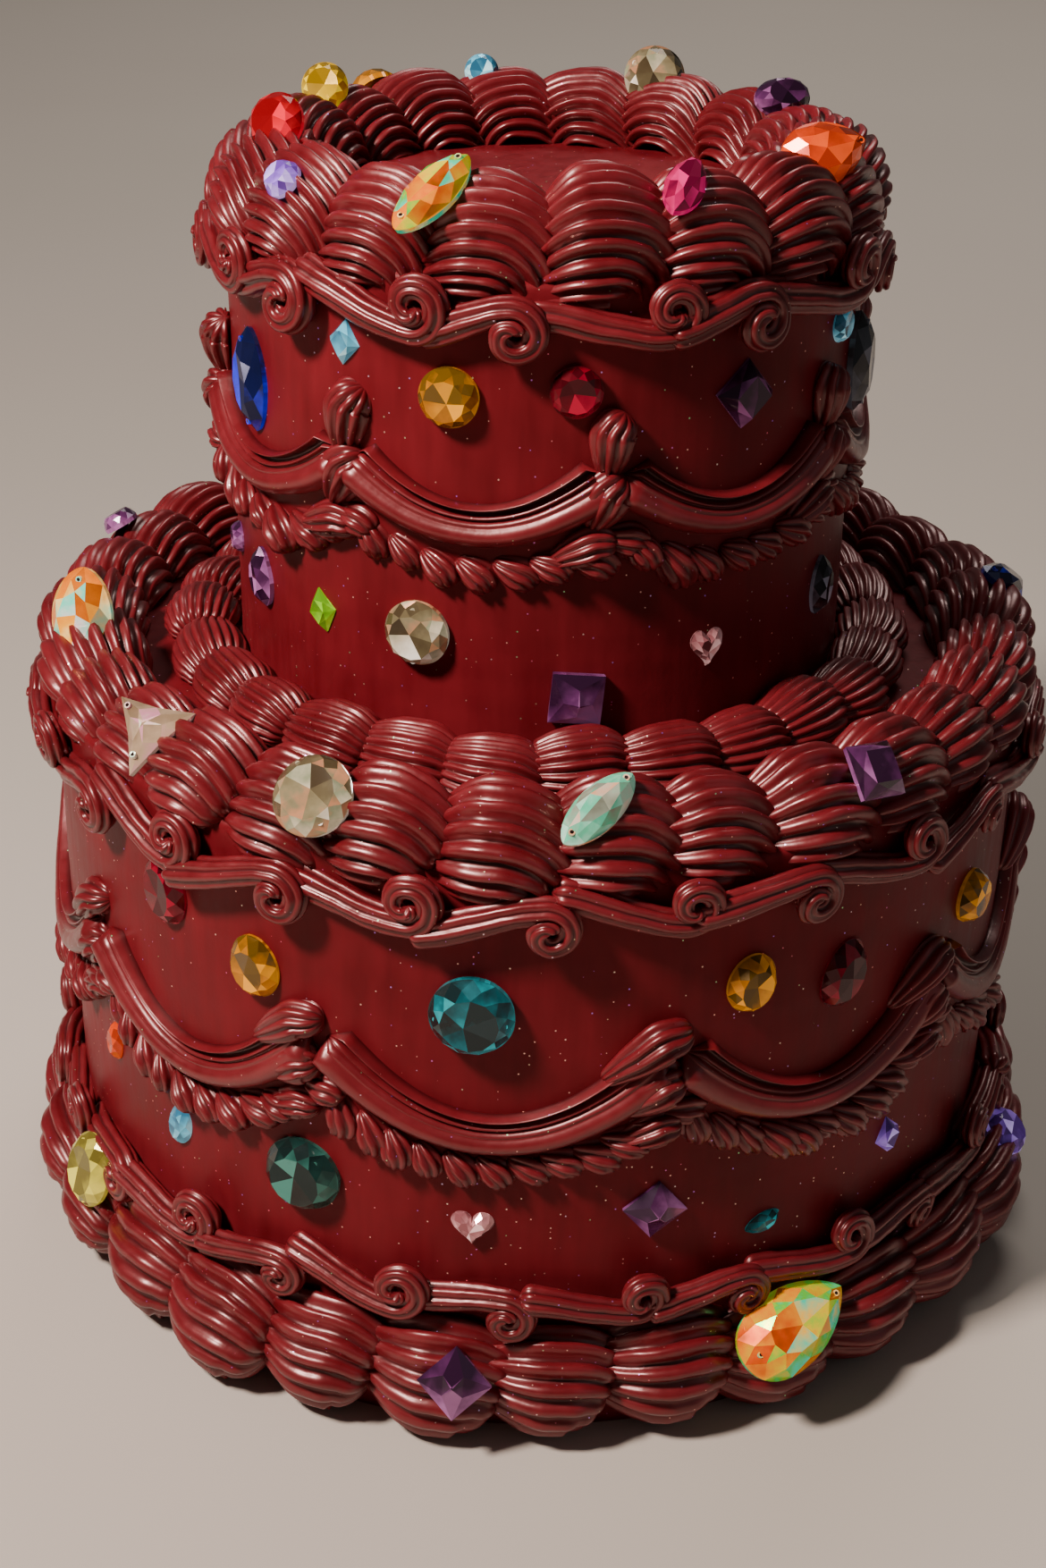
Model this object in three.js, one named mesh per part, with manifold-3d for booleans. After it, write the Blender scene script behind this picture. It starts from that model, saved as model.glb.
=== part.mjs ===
// A two-tier round celebration cake, iced and piped all over in burgundy buttercream and set with
// faceted plastic jewels. Sizes are millimetres and +Z is up. The origin is the centre of the
// underside and the front faces -Y. Angles round the cake are degrees from the front towards +X.
import * as THREE from "three";
import { mergeVertices } from "three/addons/utils/BufferGeometryUtils.js";
import Module from "manifold-3d";

const wasm = await Module();
wasm.setup();

// ---- driving dimensions ----
const clearance = 0.3; // between a piped piece or a jewel and the icing it sits on
const tierFacets = 40;
const bottomTier = { radius: 127, base: 0, top: 159 };
const topTier = { radius: 78, base: 159.3, top: 277 };

// A border of overlapping shells. Its section is an arc round a core line, from lowAngle on the
// outside over the crest to highAngle on the inside, and every shell swells from tail to head.
// Lean is how much higher the crest stands at the front, and lower at the back, than at the sides.
const crownBorder = {
  shells: 18,
  firstShell: -2.6,
  rows: 4,
  core: { radius: 67, height: 279.5 },
  reach: { out: 16, up: 17.5, inward: 19, down: 12 },
  lean: 3,
  lowAngle: -44,
  highAngle: 180,
  ridges: 4,
  ridgeDepth: 1.9,
};
const ledgeBorder = {
  shells: 30,
  firstShell: 2.4,
  rows: 4,
  core: { radius: 116, height: 161 },
  reach: { out: 16, up: 16, inward: 12.5, down: 10 },
  lean: 2.5,
  lowAngle: -45,
  highAngle: 180,
  ridges: 3,
  ridgeDepth: 1.7,
};
const footBorder = {
  shells: 28,
  firstShell: -2.7,
  rows: 4,
  core: { radius: 129, height: 17 },
  reach: { out: 14.8, up: 19, inward: 10, down: 17 },
  lean: 0,
  lowAngle: -63,
  highAngle: 78,
  ridges: 3,
  ridgeDepth: 1.9,
};
const collarBorder = {
  shells: 27,
  firstShell: 1.6,
  rows: 3,
  core: { radius: 87.5, height: 163.5 },
  reach: { out: 10.5, up: 10.6, inward: 10.5, down: 4.5 },
  lean: 0,
  lowAngle: -52,
  highAngle: 150,
  ridges: 2,
  ridgeDepth: 1.3,
};

// How full a shell is along its length: it swells from the tail, is full where the head begins,
// and rounds off over the last stretch of the head.
const shellForm = { tail: 0.76, fullAt: 0.7, domeFrom: 0.8, domeDrop: 0.16 };

// A wavy rope of S-scrolls along the edge of a border, with a curl at each crest of the wave.
const crownScroll = {
  height: 266.5,
  proud: 5.6,
  half: 4.2,
  wave: 3.4,
  curls: 9,
  firstCurl: -20,
  curl: 2.2,
};
const ledgeScroll = {
  height: 149.5,
  proud: 5.4,
  half: 4.4,
  wave: 3,
  curls: 13,
  firstCurl: -12,
  curl: 2,
};
const footScroll = {
  height: 41.5,
  proud: 7.4,
  half: 4.6,
  wave: 2.6,
  curls: 14,
  firstCurl: -13.6,
  curl: 2,
};
const curlProud = 0.6; // how far a curl stands out, as a share of how much it widens the rope

// Garlands on a wall: string, groove and broad ribbon over a ruffle of little shells, with a
// drop of shells where two swags meet. Heights are [at the drop, at the lowest point].
const topGarland = {
  radius: topTier.radius,
  drops: [-82, -34.2, 12.2, 58.4, 102.6, 146.8, 191, 234.8],
  rows: 12,
  string: [240.5, 227],
  groove: [235.5, 222.5],
  ribbon: [231.5, 218.5],
  ruffle: [222, 209.8],
  frill: [211.5, 204.5],
  dropTop: 251,
};
const bottomGarland = {
  radius: bottomTier.radius,
  drops: [-56.7, -22.9, 15.2, 50.6, 86.2, 121.8, 157.4, 193, 228.6, 264.2],
  rows: 12,
  string: [119.5, 95],
  groove: [113.5, 90.5],
  ribbon: [108.5, 86.8],
  ruffle: [97, 77],
  frill: [88, 71.3],
  dropTop: 127,
};
const garlandRelief = { string: 2.8, groove: 1.5, ribbon: 4, ruffle: 4.8, gap: 2.6, drop: 7.4 };
const stringHalf = 1.4; // from the top edge of the string to its ridge
const frillRise = 1.6; // how much higher the frill's edge is between two little shells
const dropWaist = 3.5; // relief of the narrow stretch between a drop's two shells
const dropShoulder = 6; // from the top of a drop down to where it stands out most

// Jewels: a cut, its width, length and depth, the angle and height of its centre, and its turn.
// On a border, lean is the place on the section, and face and tilt say where the table looks.
const pressed = 1.6; // how deep a jewel is pressed into piping
const pocketGap = 0.6; // between a pressed jewel and the pocket it leaves
const crownJewels = [
  { name: "yellow_round", cut: "round", size: [12, 12, 5], angle: -124, lean: 84, face: -6, tilt: 22 },
  { name: "red_round", cut: "round", size: [14, 14, 5], angle: -78, lean: 96, face: -28, tilt: 24 },
  { name: "lilac_round", cut: "round", size: [9, 9, 4], angle: -49, lean: 42 },
  { name: "rainbow_navette", cut: "navette", size: [11, 24, 5], angle: -19, lean: 54, turn: -24 },
  { name: "sky_round", cut: "round", size: [9, 9, 4], angle: -165, lean: 84, face: 0, tilt: 20 },
  { name: "clear_round", cut: "round", size: [16, 16, 6], angle: 156, lean: 84, face: 4, tilt: 20 },
  { name: "purple_oval", cut: "oval", size: [15, 10, 5], angle: 119, lean: 88, face: 20, tilt: 35 },
  { name: "orange_pear", cut: "pear", size: [15, 22, 5], angle: 62.5, lean: 72, turn: -78, face: 22, tilt: 30 },
  { name: "magenta_navette", cut: "navette", size: [9, 18, 5], angle: 23.7, lean: 60, turn: -38 },
  { name: "green_back", cut: "oval", size: [12, 16, 5], angle: 128, lean: 30, turn: 30 },
  { name: "amber_back", cut: "round", size: [14, 14, 5], angle: -144, lean: 34 },
];
const topWallJewels = [
  { name: "blue_navette", cut: "navette", size: [13, 25, 5], angle: -60.4, height: 241.3, turn: 8 },
  { name: "amber_round", cut: "round", size: [14, 14, 5], angle: -15.4, height: 250.5 },
  { name: "garnet_round", cut: "round", size: [12, 12, 4], angle: 5.5, height: 253 },
  { name: "purple_square", cut: "square", size: [11.5, 11.5, 5], angle: 35.8, height: 248.5, turn: 40 },
  { name: "smoke_navette", cut: "navette", size: [13, 25, 5], angle: 73, height: 243.5 },
  { name: "purple_navette", cut: "navette", size: [7.5, 15, 4], angle: -58.9, height: 191.7, turn: 12 },
  { name: "clear_round", cut: "round", size: [16, 16, 5], angle: -21.2, height: 192.4 },
  { name: "purple_pyramid", cut: "pyramid", size: [12.5, 12.5, 6], angle: 6.9, height: 178.6, turn: -5 },
  { name: "dim_navette", cut: "navette", size: [7.5, 15, 4], angle: 60.8, height: 191.4, turn: -10 },
  { name: "teal_back", cut: "round", size: [16, 16, 5], angle: 124, height: 247 },
  { name: "red_back", cut: "oval", size: [12, 17, 5], angle: 170, height: 246 },
  { name: "green_back", cut: "round", size: [14, 14, 5], angle: 212, height: 247 },
  { name: "clear_back", cut: "navette", size: [8, 17, 4], angle: 106, height: 190, turn: 20 },
  { name: "amber_back", cut: "pyramid", size: [12, 12, 5], angle: 196, height: 190, turn: 40 },
];
const ledgeJewels = [
  { name: "rainbow_navette", cut: "navette", size: [17, 26, 6], angle: -75, lean: 78, face: -20, tilt: 14 },
  { name: "purple_round", cut: "round", size: [10, 10, 4], angle: -109, lean: 58 },
  { name: "trefoil", cut: "trefoil", size: [24, 24, 5], angle: -45.5, lean: 46, turn: 62, raised: 1.5 },
  { name: "clear_round", cut: "round", size: [19, 19, 5], angle: -22.8, lean: 42 },
  { name: "mint_navette", cut: "navette", size: [10, 23, 5], angle: 6.4, lean: 52, turn: -46 },
  { name: "purple_square", cut: "square", size: [12, 13, 5], angle: 37.7, lean: 44, turn: -8 },
  { name: "blue_back", cut: "navette", size: [11, 24, 5], angle: 96, lean: 50, turn: 40 },
  { name: "amber_back", cut: "round", size: [18, 18, 5], angle: 148, lean: 48 },
  { name: "rose_back", cut: "pear", size: [13, 20, 5], angle: 204, lean: 50, turn: -50 },
];
const bottomWallJewels = [
  { name: "garnet_oval", cut: "oval", size: [13, 19, 5], angle: -42.9, height: 134, turn: 8 },
  { name: "amber_oval", cut: "oval", size: [13, 16, 5], angle: -30.4, height: 123.4, turn: 14 },
  { name: "teal_round", cut: "round", size: [20, 20, 6], angle: -6, height: 122.2 },
  { name: "green_round", cut: "round", size: [20, 20, 6], angle: -25.3, height: 68 },
  { name: "purple_square", cut: "pyramid", size: [11.5, 11.5, 5], angle: 14, height: 65.5, turn: 38 },
  { name: "amber_right", cut: "oval", size: [12, 15, 5], angle: 23.5, height: 126, turn: -16 },
  { name: "garnet_right", cut: "oval", size: [12, 18, 5], angle: 35.2, height: 121, turn: -20 },
  { name: "amber_edge", cut: "round", size: [14, 14, 5], angle: 58.5, height: 120.5 },
  { name: "lime_back", cut: "round", size: [18, 18, 5], angle: 104, height: 121 },
  { name: "garnet_back", cut: "oval", size: [13, 18, 5], angle: 139, height: 120, turn: 20 },
  { name: "teal_back", cut: "navette", size: [13, 25, 5], angle: 176, height: 121, turn: -20 },
  { name: "purple_back", cut: "pyramid", size: [13, 13, 5], angle: 211, height: 120, turn: 45 },
  { name: "blue_back", cut: "round", size: [20, 20, 6], angle: 246, height: 120 },
];
const footJewels = [
  { name: "lime_oval", cut: "oval", size: [15, 20, 5], angle: -58.5, lean: 70, turn: 20, face: -45, tilt: 20 },
  { name: "purple_square", cut: "pyramid", size: [13, 13, 6], angle: -6.8, lean: 25, turn: 45 },
  { name: "rainbow_pear", cut: "pear", size: [20, 34, 7], angle: 29.2, lean: 45, turn: -73 },
  { name: "lilac_round", cut: "round", size: [14, 14, 5], angle: 73, lean: 48 },
  { name: "teal_back", cut: "oval", size: [14, 18, 5], angle: 126, lean: 38, turn: 30 },
];
// Smaller stones, fused to the tier wall they are stuck on: [cut, size, angle, height, turn].
const smallStones = {
  top: [
    ["lozenge", [8.5, 11], -34.6, 259, -6],
    ["lozenge", [8.5, 11], -41.1, 191.3, 14],
    ["heart", [9, 9.5], 30.6, 187.2, 0],
    ["round", [8, 8], -75, 194, 0],
    ["round", [9, 9], 63, 256.5, 0],
    ["heart", [9, 9.5], 148, 189, 0],
    ["lozenge", [8.5, 11], 192, 254, 10],
    ["lozenge", [8.5, 11], 240, 192, -10],
  ],
  bottom: [
    ["navette", [6.5, 12.5], -56.6, 70, -6],
    ["navette", [8, 13], -43.2, 65, -14],
    ["heart", [10.5, 9.5], -5.8, 61, 0],
    ["lozenge", [9, 12], 45.2, 64, 10],
    ["navette", [5, 10], 27, 57, -70],
    ["heart", [10, 9.5], 84, 62, 0],
    ["lozenge", [9, 12], 121.8, 62, 0],
    ["navette", [6.5, 13], 157, 62, 20],
    ["heart", [10, 9.5], 196, 62, 0],
    ["lozenge", [9, 12], 232, 62, 0],
    ["round", [10, 10], 276, 62, 0],
  ],
};
const smallStoneDepth = 3;
const smallStoneSunk = 0.8; // in the wall
const girdleShare = 0.3; // of a jewel's depth, straight-sided above its flat back
const weldWithin = 1e-3; // points closer than this are one point

// ---- helpers ----
const rad = THREE.MathUtils.degToRad;

function around(angle, radius, height) {
  return new THREE.Vector3(radius * Math.sin(rad(angle)), -radius * Math.cos(rad(angle)), height);
}

function toSolid(geometry) {
  const bare = geometry.clone();
  bare.deleteAttribute("normal");
  bare.deleteAttribute("uv");
  const merged = mergeVertices(bare, weldWithin);
  const vertProperties = new Float32Array(merged.attributes.position.array);
  const triVerts = new Uint32Array(merged.index.array);
  return new wasm.Manifold(new wasm.Mesh({ numProp: 3, vertProperties, triVerts }));
}

// The largest body of a solid, as a geometry, so that a cut leaves no loose scrap.
function toGeometry(solid) {
  const bodies = solid.decompose();
  const largest = bodies.reduce((best, body) => (body.volume() > best.volume() ? body : best));
  const mesh = largest.getMesh();
  const geometry = new THREE.BufferGeometry();
  geometry.setAttribute("position", new THREE.BufferAttribute(mesh.vertProperties, 3));
  geometry.setIndex(new THREE.BufferAttribute(mesh.triVerts, 1));
  geometry.computeVertexNormals();
  return geometry;
}

// A closed ring round the cake: a torus grid of rows and section points, each placed by place().
function ringGeometry(rows, points, place) {
  const geometry = new THREE.TorusGeometry(2, 1, points, rows);
  const position = geometry.attributes.position;
  for (let j = 0; j <= points; j++) {
    for (let i = 0; i <= rows; i++) {
      const spot = place(i % rows, j % points);
      position.setXYZ(j * (rows + 1) + i, spot.x, spot.y, spot.z);
    }
  }
  return geometry;
}

// ---- tiers ----
function tierGeometry(tier) {
  const profile = [
    new THREE.Vector2(0, tier.base),
    new THREE.Vector2(tier.radius, tier.base),
    new THREE.Vector2(tier.radius, tier.top),
    new THREE.Vector2(0, tier.top),
  ];
  return new THREE.LatheGeometry(profile, tierFacets).rotateX(Math.PI / 2);
}

// ---- piped borders ----
// How full a shell is, from the pinched tail at 0 to the blunt head at 1.
function shellSwell(share) {
  const rise = Math.sin((Math.PI / 2) * Math.min(1, share / shellForm.fullAt));
  const fall = Math.max(0, share - shellForm.domeFrom) / (1 - shellForm.domeFrom);
  return THREE.MathUtils.lerp(shellForm.tail, 1, rise) - shellForm.domeDrop * fall * fall;
}

function shellShare(border, angle) {
  const turns = ((angle - border.firstShell) * border.shells) / 360;
  return turns - Math.floor(turns + 1e-9);
}

function crestHeight(border, angle, reach, theta) {
  const rise = border.lean * Math.cos(rad(angle)) * Math.max(0, Math.sin(theta));
  return border.core.height + reach * Math.sin(theta) + rise;
}

// A point of the section: ridges alternate with grooves from one end of the arc to the other.
function shellPoint(border, angle, step) {
  const steps = 2 * border.ridges;
  const theta = rad(border.lowAngle + ((border.highAngle - border.lowAngle) * step) / steps);
  const depth = step % 2 === 0 ? border.ridgeDepth : 0;
  const swell = shellSwell(shellShare(border, angle));
  const across = Math.cos(theta) > 0 ? border.reach.out : border.reach.inward;
  const along = Math.sin(theta) > 0 ? border.reach.up : border.reach.down;
  return {
    radius: border.core.radius + (across * swell - depth) * Math.cos(theta),
    height: crestHeight(border, angle, along * swell - depth, theta),
  };
}

function borderAngle(border, row) {
  return border.firstShell + (360 * row) / (border.shells * border.rows);
}

// The rope rises and falls twice as often as it curls, and is fullest at a curl.
function scrollPoint(scroll, wall, angle, part) {
  const phase = rad((angle - scroll.firstCurl) * scroll.curls);
  const height = scroll.height + scroll.wave * Math.cos(phase);
  const curl = scroll.curl * Math.max(0, Math.cos(2 * phase));
  return {
    radius: wall + (part === 0 ? scroll.proud + curlProud * curl : clearance),
    height: height + part * (scroll.half + curl),
  };
}

// A border that hangs over the edge of a tier, with its scroll along the lower edge.
function edgeBorderGeometry(border, scroll, tier) {
  const rows = border.shells * border.rows;
  const shellPoints = 2 * border.ridges;
  const place = (row, point) => {
    const angle = borderAngle(border, row);
    let spot;
    if (point < 2) {
      spot = scrollPoint(scroll, tier.radius, angle, point - 1);
    } else if (point < 2 + shellPoints) {
      spot = shellPoint(border, angle, point - 2);
    } else if (point === 2 + shellPoints) {
      const inner = border.core.radius - border.reach.inward * shellSwell(shellShare(border, angle));
      spot = { radius: inner, height: tier.top + clearance };
    } else {
      spot = { radius: tier.radius + clearance, height: tier.top + clearance };
    }
    return around(angle, spot.radius, spot.height);
  };
  return ringGeometry(rows, shellPoints + 4, place);
}

// A border that stands in the corner between a floor and a wall, with or without a scroll on top.
function cornerBorderGeometry(border, wall, floor, scroll) {
  const rows = border.shells * border.rows;
  const shellPoints = 2 * border.ridges + 1;
  const scrollPoints = scroll ? 2 : 0;
  const place = (row, point) => {
    const angle = borderAngle(border, row);
    let spot;
    if (point === 0) {
      spot = { radius: wall + clearance, height: floor };
    } else if (point <= shellPoints) {
      spot = shellPoint(border, angle, point - 1);
      if (point === 1) spot.height = floor;
      if (!scroll && point === shellPoints) spot.radius = wall + clearance;
    } else {
      spot = scrollPoint(scroll, wall, angle, point - shellPoints - 1);
    }
    return around(angle, spot.radius, spot.height);
  };
  return ringGeometry(rows, 1 + shellPoints + scrollPoints, place);
}

// ---- garlands ----
// Within a swag, share runs from one drop to the next; sag is 0 at a drop and 1 at mid-swag.
function garlandGeometry(garland) {
  const swags = garland.drops.length;
  const rows = swags * garland.rows;
  const place = (row, point) => {
    const swag = Math.floor(row / garland.rows);
    const step = row % garland.rows;
    const share = step / garland.rows;
    const start = garland.drops[swag];
    const end = swag + 1 < swags ? garland.drops[swag + 1] : garland.drops[0] + 360;
    const sag = 4 * share * (1 - share);
    const hang = (line) => THREE.MathUtils.lerp(line[0], line[1], sag);
    const frilled = step % 2 === 0;
    const onDrop = step === 0;
    const relief = garlandRelief;
    const section = [
      [clearance, hang(garland.frill) + (frilled ? 0 : frillRise)],
      [frilled ? relief.ruffle : relief.gap, hang(garland.ruffle)],
      [relief.ribbon, hang(garland.ribbon)],
      [relief.groove, hang(garland.groove)],
      [relief.string, hang(garland.string) - stringHalf],
      [clearance, hang(garland.string)],
    ];
    if (onDrop) {
      section[1][0] = relief.ruffle;
      section[2][0] = relief.drop;
      section[3][0] = dropWaist;
      section[4] = [relief.drop, garland.dropTop - dropShoulder];
      section[5] = [clearance, garland.dropTop];
    }
    const angle = start + (end - start) * share;
    return around(angle, garland.radius + section[point][0], section[point][1]);
  };
  return ringGeometry(rows, 6, place);
}

// ---- jewels ----
// Outlines of the cuts, as points of a half-unit shape for an angle from the right, upwards.
const outlines = {
  round: (t) => [Math.cos(t), Math.sin(t)],
  navette: (t) => [Math.cos(t) * Math.abs(Math.cos(t)) ** 0.25, Math.sin(t)],
  pear: (t) => {
    const pinch = 0.5 * Math.max(0, Math.sin(t));
    const x = Math.cos(t) * Math.abs(Math.cos(t)) ** pinch;
    return [x, Math.sin(t) - 0.2 * Math.cos(t) ** 2];
  },
  heart: (t) => {
    const s = Math.PI / 2 - t;
    const lobe = 13 * Math.cos(s) - 5 * Math.cos(2 * s) - 2 * Math.cos(3 * s) - Math.cos(4 * s);
    return [Math.sin(s) ** 3, (lobe + 2.5) / 14.5];
  },
  trefoil: (t) => {
    const reach = 0.72 + 0.28 * Math.cos(3 * (t - Math.PI / 2));
    return [reach * Math.cos(t), reach * Math.sin(t)];
  },
};
// Sides, the outline they follow, where the first side starts, and the size of the flat table.
const cuts = {
  round: { sides: 8, outline: "round", start: Math.PI / 8, table: 0.58 },
  oval: { sides: 8, outline: "round", start: Math.PI / 8, table: 0.58 },
  navette: { sides: 6, outline: "navette", start: 0, table: 0.5 },
  pear: { sides: 8, outline: "pear", start: Math.PI / 2, table: 0.5 },
  square: { sides: 4, outline: "round", start: Math.PI / 4, table: 0.6, spread: Math.SQRT2 },
  pyramid: { sides: 4, outline: "round", start: Math.PI / 4, table: 0, spread: Math.SQRT2 },
  lozenge: { sides: 4, outline: "round", start: 0, table: 0.55 },
  heart: { sides: 8, outline: "heart", start: Math.PI / 2, table: 0.55 },
  trefoil: { sides: 6, outline: "trefoil", start: Math.PI / 2, table: 0.15 },
};

// The flat back lies at height 0 and the table looks along +Z; grow widens it all round.
function jewelGeometry(cutName, size, grow = 0) {
  const cut = cuts[cutName];
  const [width, length, depth] = size;
  const girdle = girdleShare * depth;
  const profile = [
    new THREE.Vector2(0, -grow),
    new THREE.Vector2(1, -grow),
    new THREE.Vector2(1, girdle),
    new THREE.Vector2(cut.table, depth + grow),
  ];
  if (cut.table > 0) profile.push(new THREE.Vector2(0, depth + grow));
  const geometry = new THREE.LatheGeometry(profile, cut.sides).rotateX(Math.PI / 2);
  const position = geometry.attributes.position;
  const spread = cut.spread || 1;
  for (let side = 0; side <= cut.sides; side++) {
    const t = cut.start + (2 * Math.PI * (side % cut.sides)) / cut.sides;
    const [x, y] = outlines[cut.outline](t);
    for (let ring = 0; ring < profile.length; ring++) {
      const across = profile[ring].x * spread * x * (width / 2 + grow);
      const along = profile[ring].x * spread * y * (length / 2 + grow);
      position.setXYZ(side * profile.length + ring, across, along, profile[ring].y);
    }
  }
  return geometry;
}

// Turned in its own plane, then tilted so that its table looks out from the cake.
function jewelPlace(spot, face, tilt, turn) {
  const pose = new THREE.Matrix4().makeRotationZ(rad(turn));
  pose.premultiply(new THREE.Matrix4().makeRotationX(rad(90 - tilt)));
  pose.premultiply(new THREE.Matrix4().makeRotationZ(rad(face)));
  return pose.setPosition(spot);
}

// Where a jewel on a border sits: on the arc of the section at its lean, pressed in a little. The
// star is raised, as it lies on the crests of two shells.
function borderSpot(border, jewel) {
  const theta = rad(jewel.lean);
  const sunk = pressed - (jewel.raised ?? 0);
  const across = Math.cos(theta) > 0 ? border.reach.out : border.reach.inward;
  const radius = border.core.radius + (across - sunk) * Math.cos(theta);
  const height = crestHeight(border, jewel.angle, border.reach.up - sunk, theta);
  return around(jewel.angle, radius, height);
}

function borderPose(border, jewel) {
  const face = jewel.face ?? jewel.angle;
  const tilt = jewel.tilt ?? jewel.lean;
  return jewelPlace(borderSpot(border, jewel), face, tilt, jewel.turn ?? 0);
}

function wallPose(tier, jewel) {
  const spot = around(jewel.angle, tier.radius + clearance, jewel.height);
  return jewelPlace(spot, jewel.angle, 0, jewel.turn ?? 0);
}

// Jewels leave their own pockets in the piping they are pressed into.
function withPockets(geometry, border, jewels) {
  let solid = toSolid(geometry);
  for (const jewel of jewels) {
    const cutter = jewelGeometry(jewel.cut, jewel.size, pocketGap);
    solid = solid.subtract(toSolid(cutter.applyMatrix4(borderPose(border, jewel))));
  }
  return toGeometry(solid);
}

function withSmallStones(tier, stones) {
  let solid = toSolid(tierGeometry(tier));
  for (const [cut, [width, length], angle, height, turn] of stones) {
    const stone = jewelGeometry(cut, [width, length, smallStoneDepth]);
    const spot = around(angle, tier.radius - smallStoneSunk, height);
    solid = solid.add(toSolid(stone.applyMatrix4(jewelPlace(spot, angle, 0, turn))));
  }
  return toGeometry(solid);
}

// ---- materials ----
const wallIcing = new THREE.MeshStandardMaterial({ color: 0x6a1719, roughness: 0.45, metalness: 0 });
const pipedIcing = new THREE.MeshStandardMaterial({ color: 0x6e181c, roughness: 0.3, metalness: 0 });
const jewelColours = {
  yellow: 0xe0c020,
  red: 0xc01020,
  lilac: 0xb090d8,
  rainbow: 0xe8d8c8,
  sky: 0x6cc0e0,
  clear: 0xd8d0c0,
  purple: 0x6a3a90,
  orange: 0xf06a18,
  magenta: 0xc02070,
  green: 0x1c5040,
  amber: 0xd8a010,
  blue: 0x18208c,
  garnet: 0x7c1020,
  smoke: 0x303038,
  dim: 0x9090a0,
  teal: 0x209aa0,
  trefoil: 0xe0d8c8,
  mint: 0xa8e0c8,
  rose: 0xe07898,
  lime: 0xc8c840,
};

function jewelMaterial(name) {
  const color = jewelColours[name.split("_")[0]];
  return new THREE.MeshStandardMaterial({ color, roughness: 0.08, metalness: 0 });
}

// ---- the cake ----
const cake = new THREE.Group();

function addPiece(name, geometry, material) {
  const mesh = new THREE.Mesh(geometry, material);
  mesh.name = name;
  cake.add(mesh);
  return mesh;
}

function addJewels(prefix, jewels, poseOf) {
  for (const jewel of jewels) {
    const material = jewelMaterial(jewel.name);
    const mesh = addPiece(prefix + "_" + jewel.name, jewelGeometry(jewel.cut, jewel.size), material);
    poseOf(jewel).decompose(mesh.position, mesh.quaternion, mesh.scale);
  }
}

addPiece("bottom_tier", withSmallStones(bottomTier, smallStones.bottom), wallIcing);
addPiece("top_tier", withSmallStones(topTier, smallStones.top), wallIcing);

const crown = edgeBorderGeometry(crownBorder, crownScroll, topTier);
addPiece("crown_border", withPockets(crown, crownBorder, crownJewels), pipedIcing);
const ledge = edgeBorderGeometry(ledgeBorder, ledgeScroll, bottomTier);
addPiece("ledge_border", withPockets(ledge, ledgeBorder, ledgeJewels), pipedIcing);
const collarFloor = bottomTier.top + clearance;
const collar = cornerBorderGeometry(collarBorder, topTier.radius, collarFloor, null);
addPiece("collar_border", collar, pipedIcing);
const foot = cornerBorderGeometry(footBorder, bottomTier.radius, bottomTier.base, footScroll);
addPiece("foot_border", withPockets(foot, footBorder, footJewels), pipedIcing);
addPiece("top_garland", garlandGeometry(topGarland), pipedIcing);
addPiece("bottom_garland", garlandGeometry(bottomGarland), pipedIcing);

addJewels("crown", crownJewels, (jewel) => borderPose(crownBorder, jewel));
addJewels("top_wall", topWallJewels, (jewel) => wallPose(topTier, jewel));
addJewels("ledge", ledgeJewels, (jewel) => borderPose(ledgeBorder, jewel));
addJewels("bottom_wall", bottomWallJewels, (jewel) => wallPose(bottomTier, jewel));
addJewels("foot", footJewels, (jewel) => borderPose(footBorder, jewel));

export default cake;
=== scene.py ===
import math
import random

import bmesh
import bpy
from mathutils import Matrix, Vector, noise


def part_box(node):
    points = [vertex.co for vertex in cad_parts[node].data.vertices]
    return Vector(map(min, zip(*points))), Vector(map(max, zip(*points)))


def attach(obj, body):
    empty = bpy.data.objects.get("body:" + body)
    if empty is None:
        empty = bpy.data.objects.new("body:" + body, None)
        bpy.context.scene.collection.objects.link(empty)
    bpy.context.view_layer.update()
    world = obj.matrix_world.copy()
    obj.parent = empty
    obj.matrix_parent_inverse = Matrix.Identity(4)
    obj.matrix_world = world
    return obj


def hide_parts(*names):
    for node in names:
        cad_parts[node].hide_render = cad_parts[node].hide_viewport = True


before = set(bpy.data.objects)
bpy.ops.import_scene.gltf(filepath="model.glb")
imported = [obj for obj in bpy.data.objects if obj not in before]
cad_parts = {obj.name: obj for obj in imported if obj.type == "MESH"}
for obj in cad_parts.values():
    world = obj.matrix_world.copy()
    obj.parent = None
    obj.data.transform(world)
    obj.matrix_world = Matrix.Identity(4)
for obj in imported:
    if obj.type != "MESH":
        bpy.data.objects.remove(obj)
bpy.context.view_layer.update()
mm = 0.001
scene = bpy.context.scene

# ---- camera ----
# The cake is seen from the front and from well above, about 0.65 m from its middle, in a picture
# that is turned by one degree.
eye = Vector((0, -581.5, 422.5)) * mm
pitch, yaw, roll = (math.radians(angle) for angle in (-27.94, -0.32, 0.97))
focal_px = 2677.6
picture_width_px = 1170

ahead = Vector((math.sin(yaw) * math.cos(pitch), math.cos(yaw) * math.cos(pitch), math.sin(pitch)))
level = Vector((math.cos(yaw), -math.sin(yaw), 0))
upright = level.cross(ahead)
right = level * math.cos(roll) + upright * math.sin(roll)
above = upright * math.cos(roll) - level * math.sin(roll)
camera_data = bpy.data.cameras.new("camera")
camera_data.sensor_fit = "HORIZONTAL"
camera_data.sensor_width = 36
camera_data.lens = camera_data.sensor_width * focal_px / picture_width_px
camera = bpy.data.objects.new("camera", camera_data)
camera.matrix_world = Matrix.Translation(eye) @ Matrix((right, above, -ahead)).transposed().to_4x4()
scene.collection.objects.link(camera)
scene.camera = camera

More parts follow.
